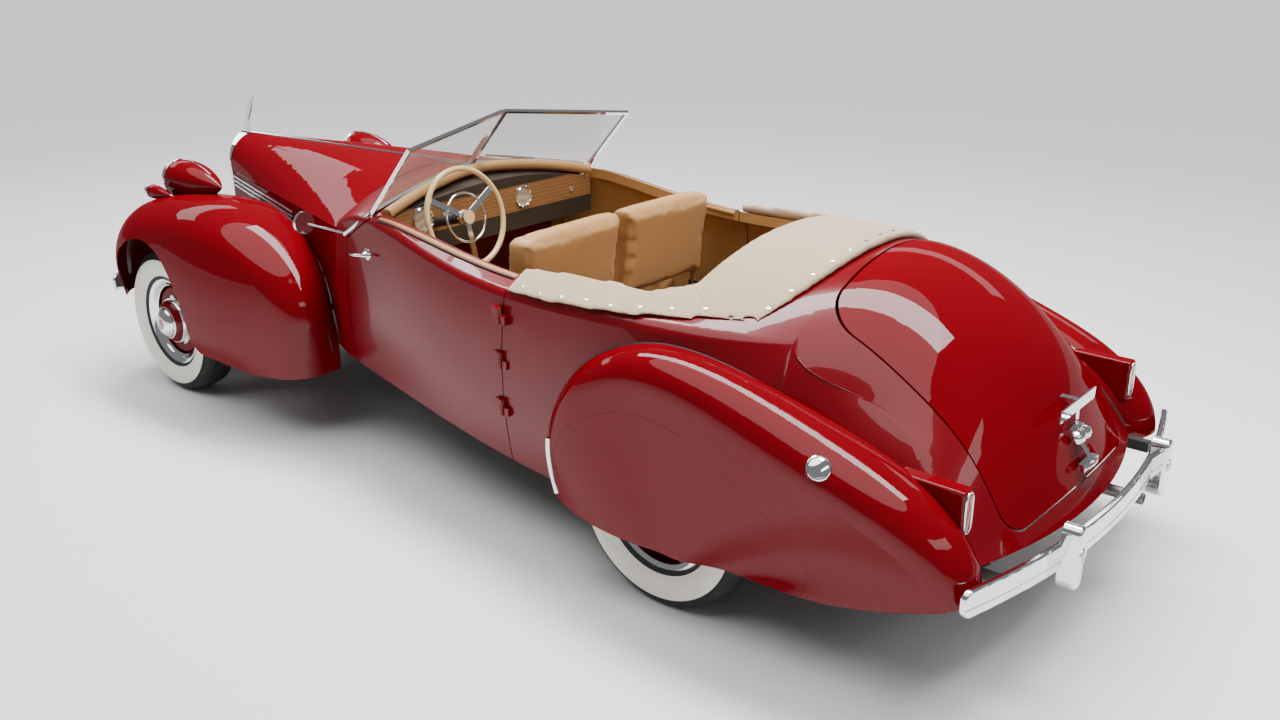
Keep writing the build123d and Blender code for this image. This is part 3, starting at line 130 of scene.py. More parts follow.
class Finish:
    """A material on the Principled shader: constants on its own sockets, and nodes for what varies."""

    def __init__(self, name, **sockets):
        self.material = bpy.data.materials.new(name)
        self.material.use_nodes = True
        self.tree = self.material.node_tree
        self.shader = self.tree.nodes["Principled BSDF"]
        for socket, value in sockets.items():
            self.shader.inputs[socket.replace("_", " ")].default_value = value

    def node(self, kind, settings, values, out=0):
        new = self.tree.nodes.new(kind)
        for key, value in settings.items():
            setattr(new, key, value)
        for key, value in values.items():
            if isinstance(value, Wire):
                self.tree.links.new(value.socket, new.inputs[key])
            else:
                new.inputs[key].default_value = value
        return Wire(self, new.outputs[out])

    def place(self):
        return self.node("ShaderNodeTexCoord", {}, {}, "Object")

    def along(self, vector, axis):
        return self.node("ShaderNodeSeparateXYZ", {}, {0: vector}, axis)

    def noise(self, scale, detail=3):
        return self.node("ShaderNodeTexNoise", {}, {
            "Scale": scale, "Detail": detail, "Vector": self.place()}, "Fac")

    def mix(self, share, first, second):
        return self.node("ShaderNodeMix", {"data_type": "RGBA"}, {
            0: share, 6: first, 7: second}, 2)

    def feed(self, **wires):
        for socket, wire in wires.items():
            self.tree.links.new(wire.socket, self.shader.inputs[socket.replace("_", " ")])

    def bump(self, height, distance, strength=0.5):
        bumped = self.node("ShaderNodeBump", {}, {
            "Strength": strength, "Distance": distance, "Height": height}, "Normal")
        self.feed(Normal=bumped)

    def on(self, *targets):
        for target in targets:
            target.data.materials.clear()
            target.data.materials.append(self.material)


# Body panels: pressed steel under a deep red lacquer with a thick clear gloss. Hood, cowl, doors,
# quarters, trunk lid, fenders and skirts are bolted and hinged steel panels, so they stay the CAD solids
# and get the lacquer.
DEEP_REDS = (0.145, 0.0002, 0.0042, 1), (0.120, 0.0002, 0.0034, 1)
GLOSS = 0.15
lacquer = Finish(
    "red_lacquer", Coat_Weight=GLOSS, Coat_Roughness=0.01, Coat_IOR=2.2, Metallic=0.0,
    Specular_IOR_Level=0.0)
lacquer.feed(
    Base_Color=lacquer.mix(lacquer.noise(2.2, 2), *DEEP_REDS),
    Roughness=0.24 + 0.05 * lacquer.noise(7, 3))
lacquer.bump(lacquer.noise(90, 2), 0.0002, 0.02)
lacquer.on(*(nodes[name] for name in (
    "hood_left", "hood_right", "hood_sides", "trunk_lid", "front_fender_left", "front_fender_right",
    "rear_fender_left", "rear_fender_right", "fender_skirts", "front_lamps", "tail_lamps")))


# Bright parts: grille shell, strips, windshield frame, bumpers and caps are brass or steel castings and
# pressings, polished and chrome plated, so they mirror the studio with faint wiping marks.
chrome = Finish("bright_chrome", Metallic=1.0)
smear = chrome.noise(9, 4)
chrome.feed(
    Base_Color=chrome.mix(smear, (0.86, 0.87, 0.89, 1), (0.74, 0.75, 0.78, 1)),
    Roughness=0.035 + 0.06 * smear)
chrome.on(*(nodes[name] for name in (
    "grille", "hood_strip", "windshield_frame", "front_bumper", "rear_bumper", "plate_bracket", "fuel_cap")))


# Glass: two laminated windshield panes and the headlamps' lenses, clear with a faint green edge.
glass = Finish("clear_glass", Roughness=0.02, IOR=1.5, Transmission_Weight=0.0, Metallic=0.0)
glass.feed(
    Base_Color=glass.mix(glass.noise(3, 1), (0.55, 0.62, 0.62, 1), (0.62, 0.68, 0.67, 1)),
    Alpha=0.20 + 0.06 * glass.noise(1.5, 2))
glass.on(nodes["windshield_glass"])
lens = Finish("ribbed_lens_glass", Roughness=0.05, IOR=1.5)
rib = lens.node("ShaderNodeTexWave", {"bands_direction": "X"}, {
    "Scale": 24.0, "Distortion": 0.0, "Vector": lens.place()})
lens.feed(Base_Color=lens.mix(rib, (0.75, 0.77, 0.78, 1), (0.92, 0.93, 0.94, 1)))
lens.bump(rib, 0.002, 0.6)
lens.on(nodes["lamp_lenses"])


# Frame, axles, springs, floor and tank: welded and riveted steel in satin black chassis paint.
chassis = Finish("chassis_black", Metallic=0.0, Specular_IOR_Level=0.4)
grime = chassis.noise(14, 5)
chassis.feed(
    Base_Color=chassis.mix(grime, (0.012, 0.012, 0.013, 1), (0.035, 0.033, 0.031, 1)),
    Roughness=0.38 + 0.25 * grime)
chassis.bump(chassis.noise(180, 3), 0.0006, 0.2)
chassis.on(*(nodes[name] for name in (
    "chassis_frame", "rear_axle", "front_suspension", "knuckle_left", "knuckle_right", "fuel_tank",
    "seat_frame", "steering_column")))
iron = Finish("engine_iron", Metallic=0.6)
rust = iron.noise(20, 5)
iron.feed(
    Base_Color=iron.mix(rust, (0.05, 0.06, 0.055, 1), (0.10, 0.10, 0.09, 1)),
    Roughness=0.5 + 0.3 * rust)
iron.bump(iron.noise(90, 4), 0.001, 0.4)
iron.on(nodes["engine_block"])
pipe = Finish("exhaust_steel", Metallic=0.9)
heat = pipe.noise(7, 4)
pipe.feed(
    Base_Color=pipe.mix(heat, (0.30, 0.28, 0.26, 1), (0.16, 0.13, 0.11, 1)),
    Roughness=0.3 + 0.35 * heat)
pipe.on(nodes["exhaust"])
carpet = Finish("black_carpet", Roughness=0.95, Sheen_Weight=0.4)
pile = carpet.noise(420, 2)
carpet.feed(Base_Color=carpet.mix(pile, (0.006, 0.006, 0.006, 1), (0.03, 0.029, 0.028, 1)))
carpet.bump(pile, 0.002, 0.8)
carpet.on(nodes["floor_pan"])


# Road wheels: a pressed steel disc wheel in body red with a bright trim ring, a bright dished cap with a
# plain red centre, and a bias-ply tyre with a cream-white side and a ribbed black tread, bolted to the
# hub.
rubber = Finish("black_rubber", Roughness=0.7, Specular_IOR_Level=0.3)
dust = rubber.noise(35, 4)
rubber.feed(Base_Color=rubber.mix(dust, (0.012, 0.012, 0.012, 1), (0.03, 0.029, 0.027, 1)))
rubber.bump(rubber.noise(260, 2), 0.0006, 0.25)
whitewall = Finish("white_sidewall", Roughness=0.55, Specular_IOR_Level=0.4)
stain = whitewall.noise(18, 5)
whitewall.feed(Base_Color=whitewall.mix(stain, (0.86, 0.83, 0.73, 1), (0.76, 0.72, 0.61, 1)))
whitewall.bump(whitewall.noise(140, 2), 0.0004, 0.2)
red_centre = Finish("red_enamel", Roughness=0.25, Coat_Weight=1.0, Coat_Roughness=0.03)
red_centre.feed(Base_Color=red_centre.mix(
    red_centre.noise(30, 2), (0.35, 0.004, 0.01, 1), (0.28, 0.003, 0.008, 1)))


def clear_selection():
    """Object mode, with nothing selected."""
    if bpy.context.object and bpy.context.object.mode != "OBJECT":
        bpy.ops.object.mode_set(mode="OBJECT")
    bpy.ops.object.select_all(action="DESELECT")


def finished(piece, *finishes):
    """Put a piece's place into its mesh, and give it its materials."""
    clear_selection()
    piece.select_set(True)
    bpy.context.view_layer.objects.active = piece
    bpy.ops.object.transform_apply(location=True, rotation=True, scale=True)
    piece.data.materials.clear()
    for finish in finishes:
        piece.data.materials.append(finish.material)
    return piece


def lathe(name, profile, steps, centre, out=1):
    """A round piece about a line along X through centre: the profile is drawn vertex by vertex, then spun.

    A profile point is its distance out along the axle and its radius.
    """
    clear_selection()
    bpy.ops.mesh.primitive_plane_add(size=0.01, location=(0, 0, 0))
    piece = bpy.context.object
    piece.name = name
    bpy.ops.object.mode_set(mode="EDIT")
    bpy.ops.mesh.select_all(action="SELECT")
    bpy.ops.mesh.merge(type="CENTER")
    bpy.ops.transform.translate(value=(profile[0][0] * out, 0, profile[0][1]))
    for before, after in zip(profile, profile[1:]):
        step = ((after[0] - before[0]) * out, 0, after[1] - before[1])
        bpy.ops.mesh.extrude_region_move(TRANSFORM_OT_translate={"value": step})
    bpy.ops.mesh.select_all(action="SELECT")
    bpy.ops.mesh.spin(steps=steps, angle=2 * pi, center=(0, 0, 0), axis=(1, 0, 0))
    bpy.ops.mesh.select_all(action="SELECT")
    bpy.ops.mesh.remove_doubles(threshold=0.00005)
    bpy.ops.mesh.normals_make_consistent(inside=False)
    bpy.ops.object.mode_set(mode="OBJECT")
    piece.location = centre
    bpy.ops.object.shade_smooth_by_angle(angle=radians(32))
    return piece


def banded(piece, centre, out, bands):
    """Give each outer face the material of the band that its distance from the axle falls in."""
    for face in piece.data.polygons:
        spot = face.center - Vector(centre)
        radius = (spot.y ** 2 + spot.z ** 2) ** 0.5
        for slot, (low, high, least_out) in enumerate(bands, 1):
            if low < radius < high and spot.x * out > least_out:
                face.material_index = slot


TYRE = [(-0.061, 0.216), (-0.074, 0.236), (-0.089, 0.268), (-0.092, 0.298), (-0.086, 0.330),
        (-0.074, 0.352), (-0.066, 0.361), (-0.046, 0.367), (-0.044, 0.360), (-0.036, 0.360),
        (-0.034, 0.3685), (-0.015, 0.3705), (-0.013, 0.363), (-0.005, 0.363), (-0.003, 0.371),
        (0.003, 0.371), (0.005, 0.363), (0.013, 0.363), (0.015, 0.3705), (0.034, 0.3685), (0.036, 0.360),
        (0.044, 0.360), (0.046, 0.367), (0.066, 0.361), (0.074, 0.352), (0.086, 0.330), (0.0915, 0.3255),
        (0.0925, 0.322), (0.0925, 0.298), (0.089, 0.268), (0.0755, 0.240), (0.0745, 0.236),
        (0.061, 0.216), (-0.061, 0.216)]
TRIM_RING = [(0.060, 0.215), (0.0665, 0.224), (0.0685, 0.219), (0.063, 0.206), (0.050, 0.196),
             (0.040, 0.187), (0.037, 0.183), (0.036, 0.186), (0.045, 0.199), (0.056, 0.211),
             (0.060, 0.215)]
HUB_CAP = [(0.034, 0.126), (0.040, 0.1285), (0.045, 0.124), (0.052, 0.120), (0.060, 0.118),
           (0.068, 0.112), (0.071, 0.104), (0.076, 0.102), (0.083, 0.098), (0.086, 0.090), (0.091, 0.088),
           (0.098, 0.083), (0.102, 0.074), (0.110, 0.069), (0.118, 0.060), (0.124, 0.050), (0.128, 0.040),
           (0.130, 0.034), (0.1305, 0.030), (0.129, 0.028), (0.131, 0.020), (0.132, 0.010), (0.1322, 0.0)]
for place, side in (("front_left", 1), ("front_right", -1), ("rear_left", 1), ("rear_right", -1)):
    low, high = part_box(f"tyre_{place}")
    centre = tuple((a + b) / 2 for a, b in zip(low, high))
    tyre = finished(lathe(f"whitewall_tyre_{place}", TYRE, 96, centre, side), rubber, whitewall)
    banded(tyre, centre, side, [(0.240, 0.3255, 0.0)])
    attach(tyre, f"road_wheel_{place}")
    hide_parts(f"tyre_{place}")
    ring = finished(lathe(f"trim_ring_{place}", TRIM_RING, 72, centre, side), chrome)
    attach(ring, f"road_wheel_{place}")
    cap = finished(lathe(f"hub_cap_{place}", HUB_CAP, 72, centre, side), chrome, red_centre)
    banded(cap, centre, side, [(0.0, 0.028, 0.1)])
    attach(cap, f"road_wheel_{place}")
    lacquer.on(nodes[f"wheel_{place}"])


# Seats: steel-framed benches stuffed and covered in tan leather with sewn channels, the front backs
# tipping forward on their pivots. Each cover is blown up a little as cloth from the shape of its CAD
# solid.
leather = Finish("tan_leather", Specular_IOR_Level=0.45, Sheen_Weight=0.1)
hide = leather.noise(5, 4)
grain = leather.node("ShaderNodeTexVoronoi", {"feature": "DISTANCE_TO_EDGE"}, {
    "Scale": 260.0, "Vector": leather.place()}, "Distance")
leather.feed(
    Base_Color=leather.mix(hide, (0.46, 0.245, 0.085, 1), (0.36, 0.18, 0.058, 1)),
    Roughness=0.42 + 0.18 * leather.noise(40, 3))
leather.bump(grain, 0.0012, 0.35)


def copied(node, name):
    """A free copy of a CAD node's mesh, merged, to be shaped into a piece."""
    clear_selection()
    piece = nodes[node].copy()
    piece.data = nodes[node].data.copy()
    piece.name = name
    piece.parent = None
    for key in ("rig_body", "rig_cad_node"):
        del piece[key]
    bpy.context.scene.collection.objects.link(piece)
    piece.select_set(True)
    bpy.context.view_layer.objects.active = piece
    bpy.ops.object.mode_set(mode="EDIT")
    bpy.ops.mesh.select_all(action="SELECT")
    bpy.ops.mesh.remove_doubles(threshold=0.0002)
    bpy.ops.mesh.normals_make_consistent(inside=False)
    bpy.ops.object.mode_set(mode="OBJECT")
    return piece


def with_modifier(piece, kind, **settings):
    """Add a modifier to a piece and apply it."""
    modifier = piece.modifiers.new(kind.lower(), kind)
    for key, value in settings.items():
        setattr(modifier, key, value)
    bpy.context.view_layer.objects.active = piece
    bpy.ops.object.modifier_apply(modifier=modifier.name)


def stuffed(piece, pressure, cap):
    """Blow a closed cover up a little as cloth, with no point moving further than cap."""
    before = [vertex.co.copy() for vertex in piece.data.vertices]
    cloth = piece.modifiers.new("cover", "CLOTH")
    cloth.settings.use_pressure = True
    cloth.settings.uniform_pressure_force = pressure
    cloth.settings.effector_weights.gravity = 0
    cloth.settings.tension_stiffness = 20
    cloth.settings.bending_stiffness = 2
    cloth.point_cache.frame_start, cloth.point_cache.frame_end = 1, 16
    for step in range(1, 17):
        bpy.context.scene.frame_set(step)
    bpy.context.view_layer.objects.active = piece
    bpy.ops.object.modifier_apply(modifier=cloth.name)
    bpy.context.scene.frame_set(1)
    for vertex, home in zip(piece.data.vertices, before):
        move = vertex.co - home
        if move.length > cap:
            vertex.co = home + move.normalized() * cap


def channelled(piece, pitch, depth, half_width, test):
    """Press sewn channels into the faces that test picks, one every pitch across the car."""
    for vertex in piece.data.vertices:
        if test(vertex.normal):
            off = (vertex.co.x / pitch + 0.5) % 1 - 0.5
            vertex.co = vertex.co - vertex.normal * depth * max(0.0, 1 - abs(off) * pitch / half_width) ** 2


def piped(name, points, radius, finish, body, closed=False):
    """A round cord, welt or bright bead along a smooth line."""
    clear_selection()
    bpy.ops.curve.primitive_nurbs_path_add()
    line = bpy.context.object
    line.name = name
    line.data.splines.clear()
    spline = line.data.splines.new("NURBS")
    spline.points.add(len(points) - 1)
    for point, spot in zip(spline.points, points):
        point.co = (*spot, 1)
    spline.order_u = 3
    spline.use_endpoint_u = not closed
    spline.use_cyclic_u = closed
    line.data.resolution_u = 6
    line.data.bevel_depth = radius
    line.data.bevel_resolution = 2
    line.data.use_fill_caps = True
    bpy.ops.object.convert(target="MESH")
    piece = finished(bpy.context.object, finish)
    bpy.ops.object.shade_smooth()
    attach(piece, body)


for node, name, body, pitch, pick in (
    ("seat_cushion", "front_cushion", "body", 0.1, lambda normal: normal.z > 0.7),
    ("seat_back_left", "driver_back", "seat_back_left", 0.095, lambda normal: normal.y < -0.6),
    ("seat_back_right", "passenger_back", "seat_back_right", 0.095, lambda normal: normal.y < -0.6),
    ("rear_seat", "rear_bench", "body", 0.1, lambda normal: normal.z > 0.7 or normal.y < -0.7),
):
    cushion = copied(node, name)
    with_modifier(cushion, "REMESH", mode="VOXEL", voxel_size=0.011)
    with_modifier(cushion, "SMOOTH", iterations=10, factor=0.8)
    stuffed(cushion, pressure=3.0, cap=0.014)
    channelled(cushion, pitch, depth=0.007, half_width=0.011, test=pick)
    with_modifier(cushion, "SUBSURF", levels=1, render_levels=1)
    finished(cushion, leather)
    bpy.ops.object.shade_smooth()
    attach(cushion, body)
    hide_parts(node)


# Cabin lining: tan leather-cloth panels on the doors, quarters and bulkhead inside the lacquered steel. A
# face is lined where it looks towards the car's middle, or forward on the bulkhead behind the rear seat.
lined = Finish("lacquer_with_tan_lining", Coat_Roughness=0.01, Coat_IOR=2.2, Specular_IOR_Level=0.1)
facing = lined.node("ShaderNodeTexCoord", {}, {}, "Normal")
depth = lined.along(lined.place(), "Y")
inward = (lined.along(lined.place(), "X") * lined.along(facing, "X")) < -0.10
BULKHEAD_FROM, BULKHEAD_TO, CABIN_END = 1.35, 1.45, 1.44
ahead = (lined.along(facing, "Y") < -0.6) * (depth > BULKHEAD_FROM) * (depth < BULKHEAD_TO)
share = lined.node("ShaderNodeMath", {"operation": "MAXIMUM", "use_clamp": True}, {0: inward, 1: ahead})
cabin = share * (depth < CABIN_END)
skin_red = lined.mix(lined.noise(2.2, 2), *DEEP_REDS)
skin_tan = lined.mix(lined.noise(6, 4), (0.44, 0.235, 0.085, 1), (0.35, 0.18, 0.06, 1))
lined.feed(
    Base_Color=lined.mix(cabin, skin_red, skin_tan),
    Roughness=0.26 + 0.3 * cabin,
    Coat_Weight=GLOSS - GLOSS * cabin)
lined.on(*(nodes[name] for name in ("door_left", "door_right", "rear_body", "cowl")))


# Folded-top cover: one sheet of beige canvas drawn over the folded top's padding and snapped down along
# its hem. Soft folds a few millimetres deep run over it.
canvas = Finish("beige_canvas", Roughness=0.85, Sheen_Weight=0.3, Specular_IOR_Level=0.25)
warp, weft = (
    canvas.node("ShaderNodeTexWave", {"bands_direction": axis}, {"Scale": 190.0, "Vector": canvas.place()})
    for axis in ("X", "Y"))
canvas.feed(Base_Color=canvas.mix(canvas.noise(4, 4), (0.56, 0.42, 0.275, 1), (0.47, 0.345, 0.22, 1)))
canvas.bump(warp * 0.5 + weft * 0.5 + canvas.noise(9, 3) * 3, 0.002, 0.5)
cover = copied("boot_cover", "top_cover")
with_modifier(cover, "REMESH", mode="VOXEL", voxel_size=0.009)
with_modifier(cover, "SMOOTH", iterations=14, factor=0.8)
ripple = bpy.data.textures.new("soft_folds", "CLOUDS")
ripple.noise_scale = 0.16
with_modifier(cover, "DISPLACE", texture=ripple, strength=0.004, mid_level=0.5, texture_coords="GLOBAL")
finished(cover, canvas)
bpy.ops.object.shade_smooth()
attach(cover, "body")
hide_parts("boot_cover")


# Steering wheel: three sprung steel spokes and a bright horn ring on a cream plastic rim moulded over a
# steel hoop, with a black button; its parts are told apart by their distance from the wheel's middle.
HUB_MIDDLE = (0.370, -0.054, 1.108)
BUTTON_RADIUS, HUB_RADIUS, RIM_INNER_RADIUS = 0.017, 0.036, 0.193
STEEL, BLACK = (0.80, 0.81, 0.83, 1), (0.01, 0.01, 0.012, 1)
cream = Finish("cream_rim_bright_spokes", Coat_Weight=0.4, Coat_Roughness=0.1)
away = cream.node("ShaderNodeVectorMath", {"operation": "DISTANCE"}, {
    0: cream.place(), 1: HUB_MIDDLE}, "Value")
bright = (away > HUB_RADIUS) * (away < RIM_INNER_RADIUS)
ivory = cream.mix(cream.noise(12, 3), (0.66, 0.47, 0.23, 1), (0.58, 0.39, 0.17, 1))
cream.feed(
    Base_Color=cream.mix(away < BUTTON_RADIUS, cream.mix(bright, ivory, STEEL), BLACK),
    Metallic=bright,
    Roughness=0.25 - 0.17 * bright)
cream.on(nodes["steering_wheel"])


# Dashboard: a pressed steel fascia with a wood-grained face, under a padded tan roll that follows the
# windshield's foot; round instruments with bright bezels are screwed to it.
FASCIA_FACE = -0.2572
WOOD_FROM, WOOD_TO = 1.015, 1.135
fascia = Finish("wood_grained_fascia", Coat_Weight=0.3)
upright = fascia.along(fascia.place(), "Z")
figure = fascia.node("ShaderNodeTexWave", {"bands_direction": "Z", "wave_profile": "SAW"}, {
    "Scale": 18.0, "Distortion": 4.0, "Detail": 3.0, "Detail Scale": 1.5, "Vector": fascia.place()})
wood = fascia.mix(figure, (0.30, 0.15, 0.055, 1), (0.17, 0.075, 0.025, 1))
dark = fascia.mix(fascia.noise(8), (0.02, 0.016, 0.012, 1), (0.035, 0.028, 0.02, 1))
fascia.feed(
    Base_Color=fascia.mix((upright > WOOD_FROM) * (upright < WOOD_TO), dark, wood),
    Roughness=0.34 + 0.2 * figure)
fascia.on(nodes["dashboard"])
dial = Finish("dial_face", Roughness=0.3, Coat_Weight=1.0)
ticks = dial.node("ShaderNodeTexWave", {"wave_type": "RINGS", "rings_direction": "SPHERICAL"}, {
    "Scale": 9.0, "Vector": dial.place()})
dial.feed(Base_Color=dial.mix(ticks, (0.50, 0.42, 0.30, 1), (0.34, 0.27, 0.18, 1)))
FACE_SHARE = 0.8
BEZEL = [(0.0, 0.0), (0.001, 0.62), (0.001, FACE_SHARE), (0.007, 0.84), (0.010, 0.92), (0.006, 1.0),
         (-0.002, 1.0)]


def aimed(piece, way):
    """Turn a lathed piece from X to another direction."""
    piece.rotation_mode = "QUATERNION"
    piece.rotation_quaternion = Vector((1, 0, 0)).rotation_difference(Vector(way))
    return piece


def inlaid(piece, centre, radius):
    """Give a round piece that faces along Y its second material inside a radius."""
    for face in piece.data.polygons:
        spot = face.center - Vector(centre)
        face.material_index = 1 if (spot.x ** 2 + spot.z ** 2) ** 0.5 < radius else 0


for name, x, z, radius in (
    ("clock", -0.169, 1.078, 0.052), ("speedometer", 0.440, 1.078, 0.058),
    ("oil_gauge", 0.300, 1.082, 0.034), ("fuel_gauge", 0.575, 1.062, 0.030),
    ("glovebox_lock", -0.500, 1.060, 0.012),
):
    centre = (x, FASCIA_FACE, z)
    profile = [(out, share * radius) for out, share in BEZEL]
    gauge = finished(aimed(lathe(name, profile, 40, centre), (0, 1, 0)), chrome, dial)
    inlaid(gauge, centre, radius * FACE_SHARE)
    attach(gauge, "body")


# Padded rolls: tan leather-cloth stuffed with felt, tacked along the cockpit's edge at the windshield's
# foot and on the tops of the doors, with a black rubber strip outside each door's roll.
DASH_ROLL_RADIUS, DOOR_ROLL_RADIUS, STRIP_RADIUS = 0.024, 0.017, 0.0035
DOOR_TOP_BOW = 0.020
ABOVE, DOWN = 1.6, (0, 0, -1)


def surface(names, start, way):
    """The place, the normal and the node's name where a line from start first meets one of the nodes."""
    best = None
    for name in names:
        hit, spot, normal, face = nodes[name].ray_cast(Vector(start), Vector(way).normalized())
        if hit and (best is None or (spot - Vector(start)).length < (best[0] - Vector(start)).length):
            best = (spot, normal, name)
    return best


edge = []
for step in range(15):
    x = -0.63 + 0.09 * step
    y = -0.375 + 0.125 * (abs(x) / 0.655) ** 1.2
    top = surface(["cowl"], (x, y - 0.035, ABOVE), DOWN)
    if top:
        edge.append((x, y, top[0].z - 0.010))
piped("dash_roll", edge, DASH_ROLL_RADIUS, leather, "body")
for side, door in ((1, "door_left"), (-1, "door_right")):
    belt, strip = [], []
    for step in range(11):
        y = -0.235 + 0.083 * step
        bow = DOOR_TOP_BOW * step / 10
        top = surface([door], (side * (0.700 + bow), y, ABOVE), DOWN)
        if top:
            belt.append((side * (0.681 + bow), y, top[0].z - 0.007))
            strip.append((side * (0.706 + bow), y, top[0].z + 0.001))
    piped(f"{door}_roll", belt, DOOR_ROLL_RADIUS, leather, door)
    piped(f"{door}_rubber", strip, STRIP_RADIUS, rubber, door)


# Fender welts: a bead of black cord in a folded strip, clamped between each fender and the body it is
# bolted to.
REAR_PIVOT, FRONT_PIVOT = (1.483, 0.18), (-1.843, 0.371)
FAR = 1.8


def seam(fender, others, pivot, leans, low, side):
    """Points along a fender's joint with the body, searched outwards from low at each lean."""
    high = 0.95
    points = []
    for lean in leans:
        way = Vector((0, sin(radians(lean)), cos(radians(lean))))
        inner, outer = low, high
        for step in range(11):
            middle = (inner + outer) / 2
            found = surface([fender, *others], Vector((side * middle, *pivot)) + way * FAR, -way)
            if found and found[2] == fender:
                outer = middle
            else:
                inner = middle
        found = surface([fender, *others], Vector((side * outer, *pivot)) + way * FAR, -way)
        if found and found[2] == fender and low + 0.002 < inner < high - 0.004:
            points.append(found[0])
    return points


for side, hand in ((1, "left"), (-1, "right")):
    rear = seam(f"rear_fender_{hand}", ["rear_body"], REAR_PIVOT, range(-66, 78, 6), 0.5, side)
    piped(f"rear_welt_{hand}", rear, 0.0055, rubber, "body")
    front = seam(f"front_fender_{hand}", ["hood_sides", "cowl"], FRONT_PIVOT, range(-18, 94, 7), 0.2, side)
    piped(f"front_welt_{hand}", front, 0.005, rubber, "body")


# Hem of the cover: bright snap caps pressed through the canvas on to studs, and a sewn cord over each
# corner seam.
SNAP = [(-0.002, 0.0085), (0.001, 0.0085), (0.0028, 0.0075), (0.0038, 0.005), (0.0042, 0.0)]
BESIDE = 1.2


def cover_points(lines):
    """The place and the normal where each line, a start and a direction, meets the cover, if it does."""
    hits = [cover.ray_cast(Vector(start), Vector(way)) for start, way in lines]
    return [(spot, normal) for hit, spot, normal, face in hits if hit]


studs = []
for side in (1, -1):
    for step in range(9):
        y = 0.60 + 0.106 * step
        studs += cover_points(
            ((side * BESIDE, y, 0.96 + 0.008 * lift), (-side, 0, 0)) for lift in range(20))[2:3]
for step in range(15):
    x = -0.66 + 0.0943 * step
    studs += cover_points([((x, 1.575 + 0.145 * (1 - (x / 0.72) ** 2), ABOVE), DOWN)])
caps = []
for number, (spot, normal) in enumerate(studs):
    caps.append(finished(aimed(lathe(f"snap_{number}", SNAP, 14, spot), normal), chrome))
clear_selection()
for cap in caps:
    cap.select_set(True)
bpy.context.view_layer.objects.active = caps[0]
bpy.ops.object.join()
caps[0].name = "hem_snaps"
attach(caps[0], "body")
for side, hand in ((1, "left"), (-1, "right")):
    cord = cover_points(
        ((side * (0.56 + 0.022 * step), 1.30 + 0.033 * step, ABOVE), DOWN) for step in range(9))
    line = [spot + normal * 0.001 for spot, normal in cord]
    piped(f"corner_seam_{hand}", line, 0.0022, canvas, "body")


# Door levers: a chrome plated lever on a turned rose near each door's front edge, screwed through the
# door's skin.
ROSE = [(-0.004, 0.026), (0.002, 0.026), (0.006, 0.022), (0.008, 0.014), (0.020, 0.011), (0.024, 0.009),
        (0.026, 0.0)]
LEVER = [(0.024, 0.062, 0.010), (0.034, 0.030, 0.006), (0.034, -0.010, 0.000), (0.032, -0.055, -0.006),
         (0.024, -0.088, -0.012)]
for side, door in ((1, "door_left"), (-1, "door_right")):
    centre = surface([door], (side * BESIDE, -0.292, 0.975), (-side, 0, 0))[0]
    rose = finished(aimed(lathe(f"{door}_rose", ROSE, 28, centre), (side, 0, 0)), chrome)
    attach(rose, door)
    grip = [centre + Vector((side * out, back, up)) for out, back, up in LEVER]
    piped(f"{door}_lever", grip, 0.0075, chrome, door)


# Wipers: two rubber blades in bright steel backs, resting on the glass at the windshield's foot.
for number, (near, far) in enumerate((
    ((0.299, -0.423, 1.306), (0.098, -0.418, 1.252)),
    ((-0.068, -0.413, 1.269), (-0.342, -0.413, 1.222)),
)):
    blade = []
    for step in range(7):
        aim = Vector(near).lerp(Vector(far), step / 6)
        hit = surface(["windshield_glass"], (aim.x, -1.2, aim.z), (0, 1, 0))
        if hit:
            blade.append(hit[0] + Vector((0, -0.006, 0.002)))
    back = [point + Vector((0, -0.005, 0.003)) for point in blade]
    piped(f"wiper_blade_{number}", blade, 0.004, rubber, "body")
    piped(f"wiper_back_{number}", back, 0.003, chrome, "body")


# Front lamps' bright trim: a rolled brass rim round each headlamp and parking lamp lens, and a rib
# screwed to each headlamp's crown, all chrome plated.
RIM = [(0.006, 0.93), (0.012, 0.97), (0.010, 1.02), (0.0, 1.045), (-0.012, 1.03), (-0.016, 1.0),
       (-0.004, 0.96), (0.006, 0.93)]
HEADLAMP_X = 0.560
for side, hand in ((1, "left"), (-1, "right")):
    for kind, (x, y, z), radius in (
        ("headlamp", (HEADLAMP_X, -2.044, 1.047), 0.098),
        ("parking", (0.720, -2.058, 1.003), 0.034),
    ):
        profile = [(out, share * radius) for out, share in RIM]
        rim = finished(aimed(lathe(f"{kind}_rim_{hand}", profile, 48, (side * x, y, z)), (0, -1, 0)), chrome)
        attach(rim, "body")
    rib = []
    for step in range(9):
        top = surface(["front_lamps"], (side * HEADLAMP_X, -2.02 + 0.034 * step, 1.5), DOWN)
        rib.append(top[0] + Vector((0, 0, 0.002)))
    piped(f"headlamp_rib_{hand}", rib, 0.004, chrome, "body")


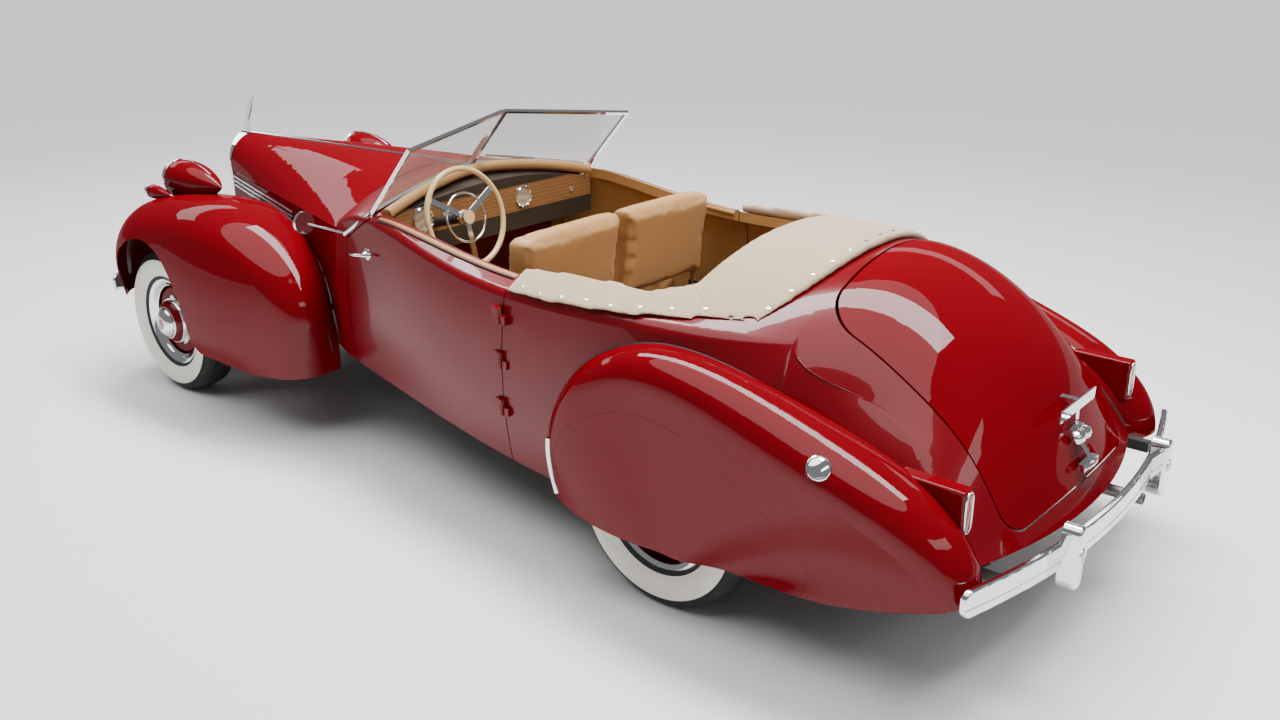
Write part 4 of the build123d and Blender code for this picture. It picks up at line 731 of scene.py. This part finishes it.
# Tail lamps: a fluted red glass in a bright frame, screwed to the rear face of each painted pod.
TAIL_X, TAIL_Y, TAIL_Z = 0.700, 2.4405, 0.669
TAIL_FRAME = [(-0.021, 0.066), (0.021, 0.066), (0.024, 0.0), (0.021, -0.066), (-0.021, -0.066),
              (-0.024, 0.0)]
ruby = Finish("ruby_glass", Roughness=0.08, Coat_Weight=1.0)
flute = ruby.node("ShaderNodeTexWave", {"bands_direction": "Z"}, {"Scale": 40.0, "Vector": ruby.place()})
ruby.feed(Base_Color=ruby.mix(flute, (0.16, 0.0, 0.003, 1), (0.30, 0.002, 0.006, 1)))
ruby.bump(flute, 0.001, 0.5)
for side, hand in ((1, "left"), (-1, "right")):
    bpy.ops.mesh.primitive_cube_add(size=1, location=(side * TAIL_X, TAIL_Y, TAIL_Z))
    glow = bpy.context.object
    glow.name = f"tail_glass_{hand}"
    glow.scale = (0.036, 0.012, 0.122)
    bpy.ops.object.transform_apply(location=False, rotation=False, scale=True)
    with_modifier(glow, "BEVEL", width=0.0055, segments=4)
    finished(glow, ruby)
    bpy.ops.object.shade_smooth()
    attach(glow, "body")
    outline = [(side * TAIL_X + across, TAIL_Y + 0.002, TAIL_Z + up) for across, up in TAIL_FRAME]
    piped(f"tail_frame_{hand}", outline, 0.004, chrome, "body", closed=True)


# Bright trim on the body: a stone guard on each rear fender's front edge and three strips under each hood
# half's edge, all rolled brass, chrome plated and clipped to the steel.
for side, hand in ((1, "left"), (-1, "right")):
    guard = []
    for step in range(9):
        z = 0.345 + 0.026 * step
        found = surface([f"rear_fender_{hand}", "fender_skirts"], (side * 0.915, 0.2, z), (0, 1, 0))
        if found:
            guard.append(found[0] + found[1] * 0.002)
    piped(f"stone_guard_{hand}", guard, 0.011, chrome, "body")
    for row in range(3):
        line = []
        for step in range(10):
            y = -2.19 + 0.112 * step
            found = surface(["hood_sides"], (side * 1.3, y, 0.978 - 0.024 * row), (-side, 0, 0))
            if found:
                line.append(found[0] + found[1] * 0.002)
        piped(f"hood_moulding_{hand}_{row}", line, 0.007, chrome, "body")


# Bumper guards' discs: a plain red enamel disc in a bright ring, riveted to the face of each guard.
ENAMEL_RADIUS = 0.017
DISC = [(-0.004, 0.024), (0.003, 0.024), (0.005, 0.021), (0.004, ENAMEL_RADIUS), (0.005, 0.0)]
for end, x, y, way in (("rear", 0.411, 2.692, 1), ("front", 0.260, -2.692, -1)):
    for side, hand in ((1, "left"), (-1, "right")):
        centre = (side * x, y, 0.492)
        disc = aimed(lathe(f"guard_disc_{end}_{hand}", DISC, 32, centre), (0, way, 0))
        finished(disc, chrome, red_centre)
        inlaid(disc, centre, ENAMEL_RADIUS)
        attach(disc, "body")


# Fuel cap: a brass pressing, chrome plated, screwed into the filler neck through the left rear fender.
CAP = [(-0.004, 0.0375), (0.003, 0.0385), (0.005, 0.036), (0.003, 0.033), (0.006, 0.031), (0.010, 0.022),
       (0.012, 0.010), (0.0125, 0.0)]
dome = finished(aimed(lathe("fuel_cap_dome", CAP, 40, (0.926, 2.066, 0.781)), (0.608, 0.555, 0.568)), chrome)
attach(dome, "body")


# Plate lamp and lid handle: a bright two-lobed lamp hood under the bar for the number plate, and a handle
# below it.
LOBE = [(-0.062, 0.0), (-0.058, 0.012), (-0.046, 0.022), (-0.026, 0.027), (-0.008, 0.024), (0.0, 0.022),
        (0.008, 0.024), (0.026, 0.027), (0.046, 0.022), (0.058, 0.012), (0.062, 0.0)]
lamp_hood = finished(lathe("plate_lamp_hood", LOBE, 36, (0.0, 2.506, 0.700)), chrome)
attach(lamp_hood, "trunk_lid")
HANDLE = [(-0.062, 2.546, 0.606), (-0.030, 2.556, 0.608), (0.0, 2.558, 0.609), (0.030, 2.556, 0.608),
          (0.062, 2.546, 0.606)]
piped("lid_handle", HANDLE, 0.010, chrome, "trunk_lid")
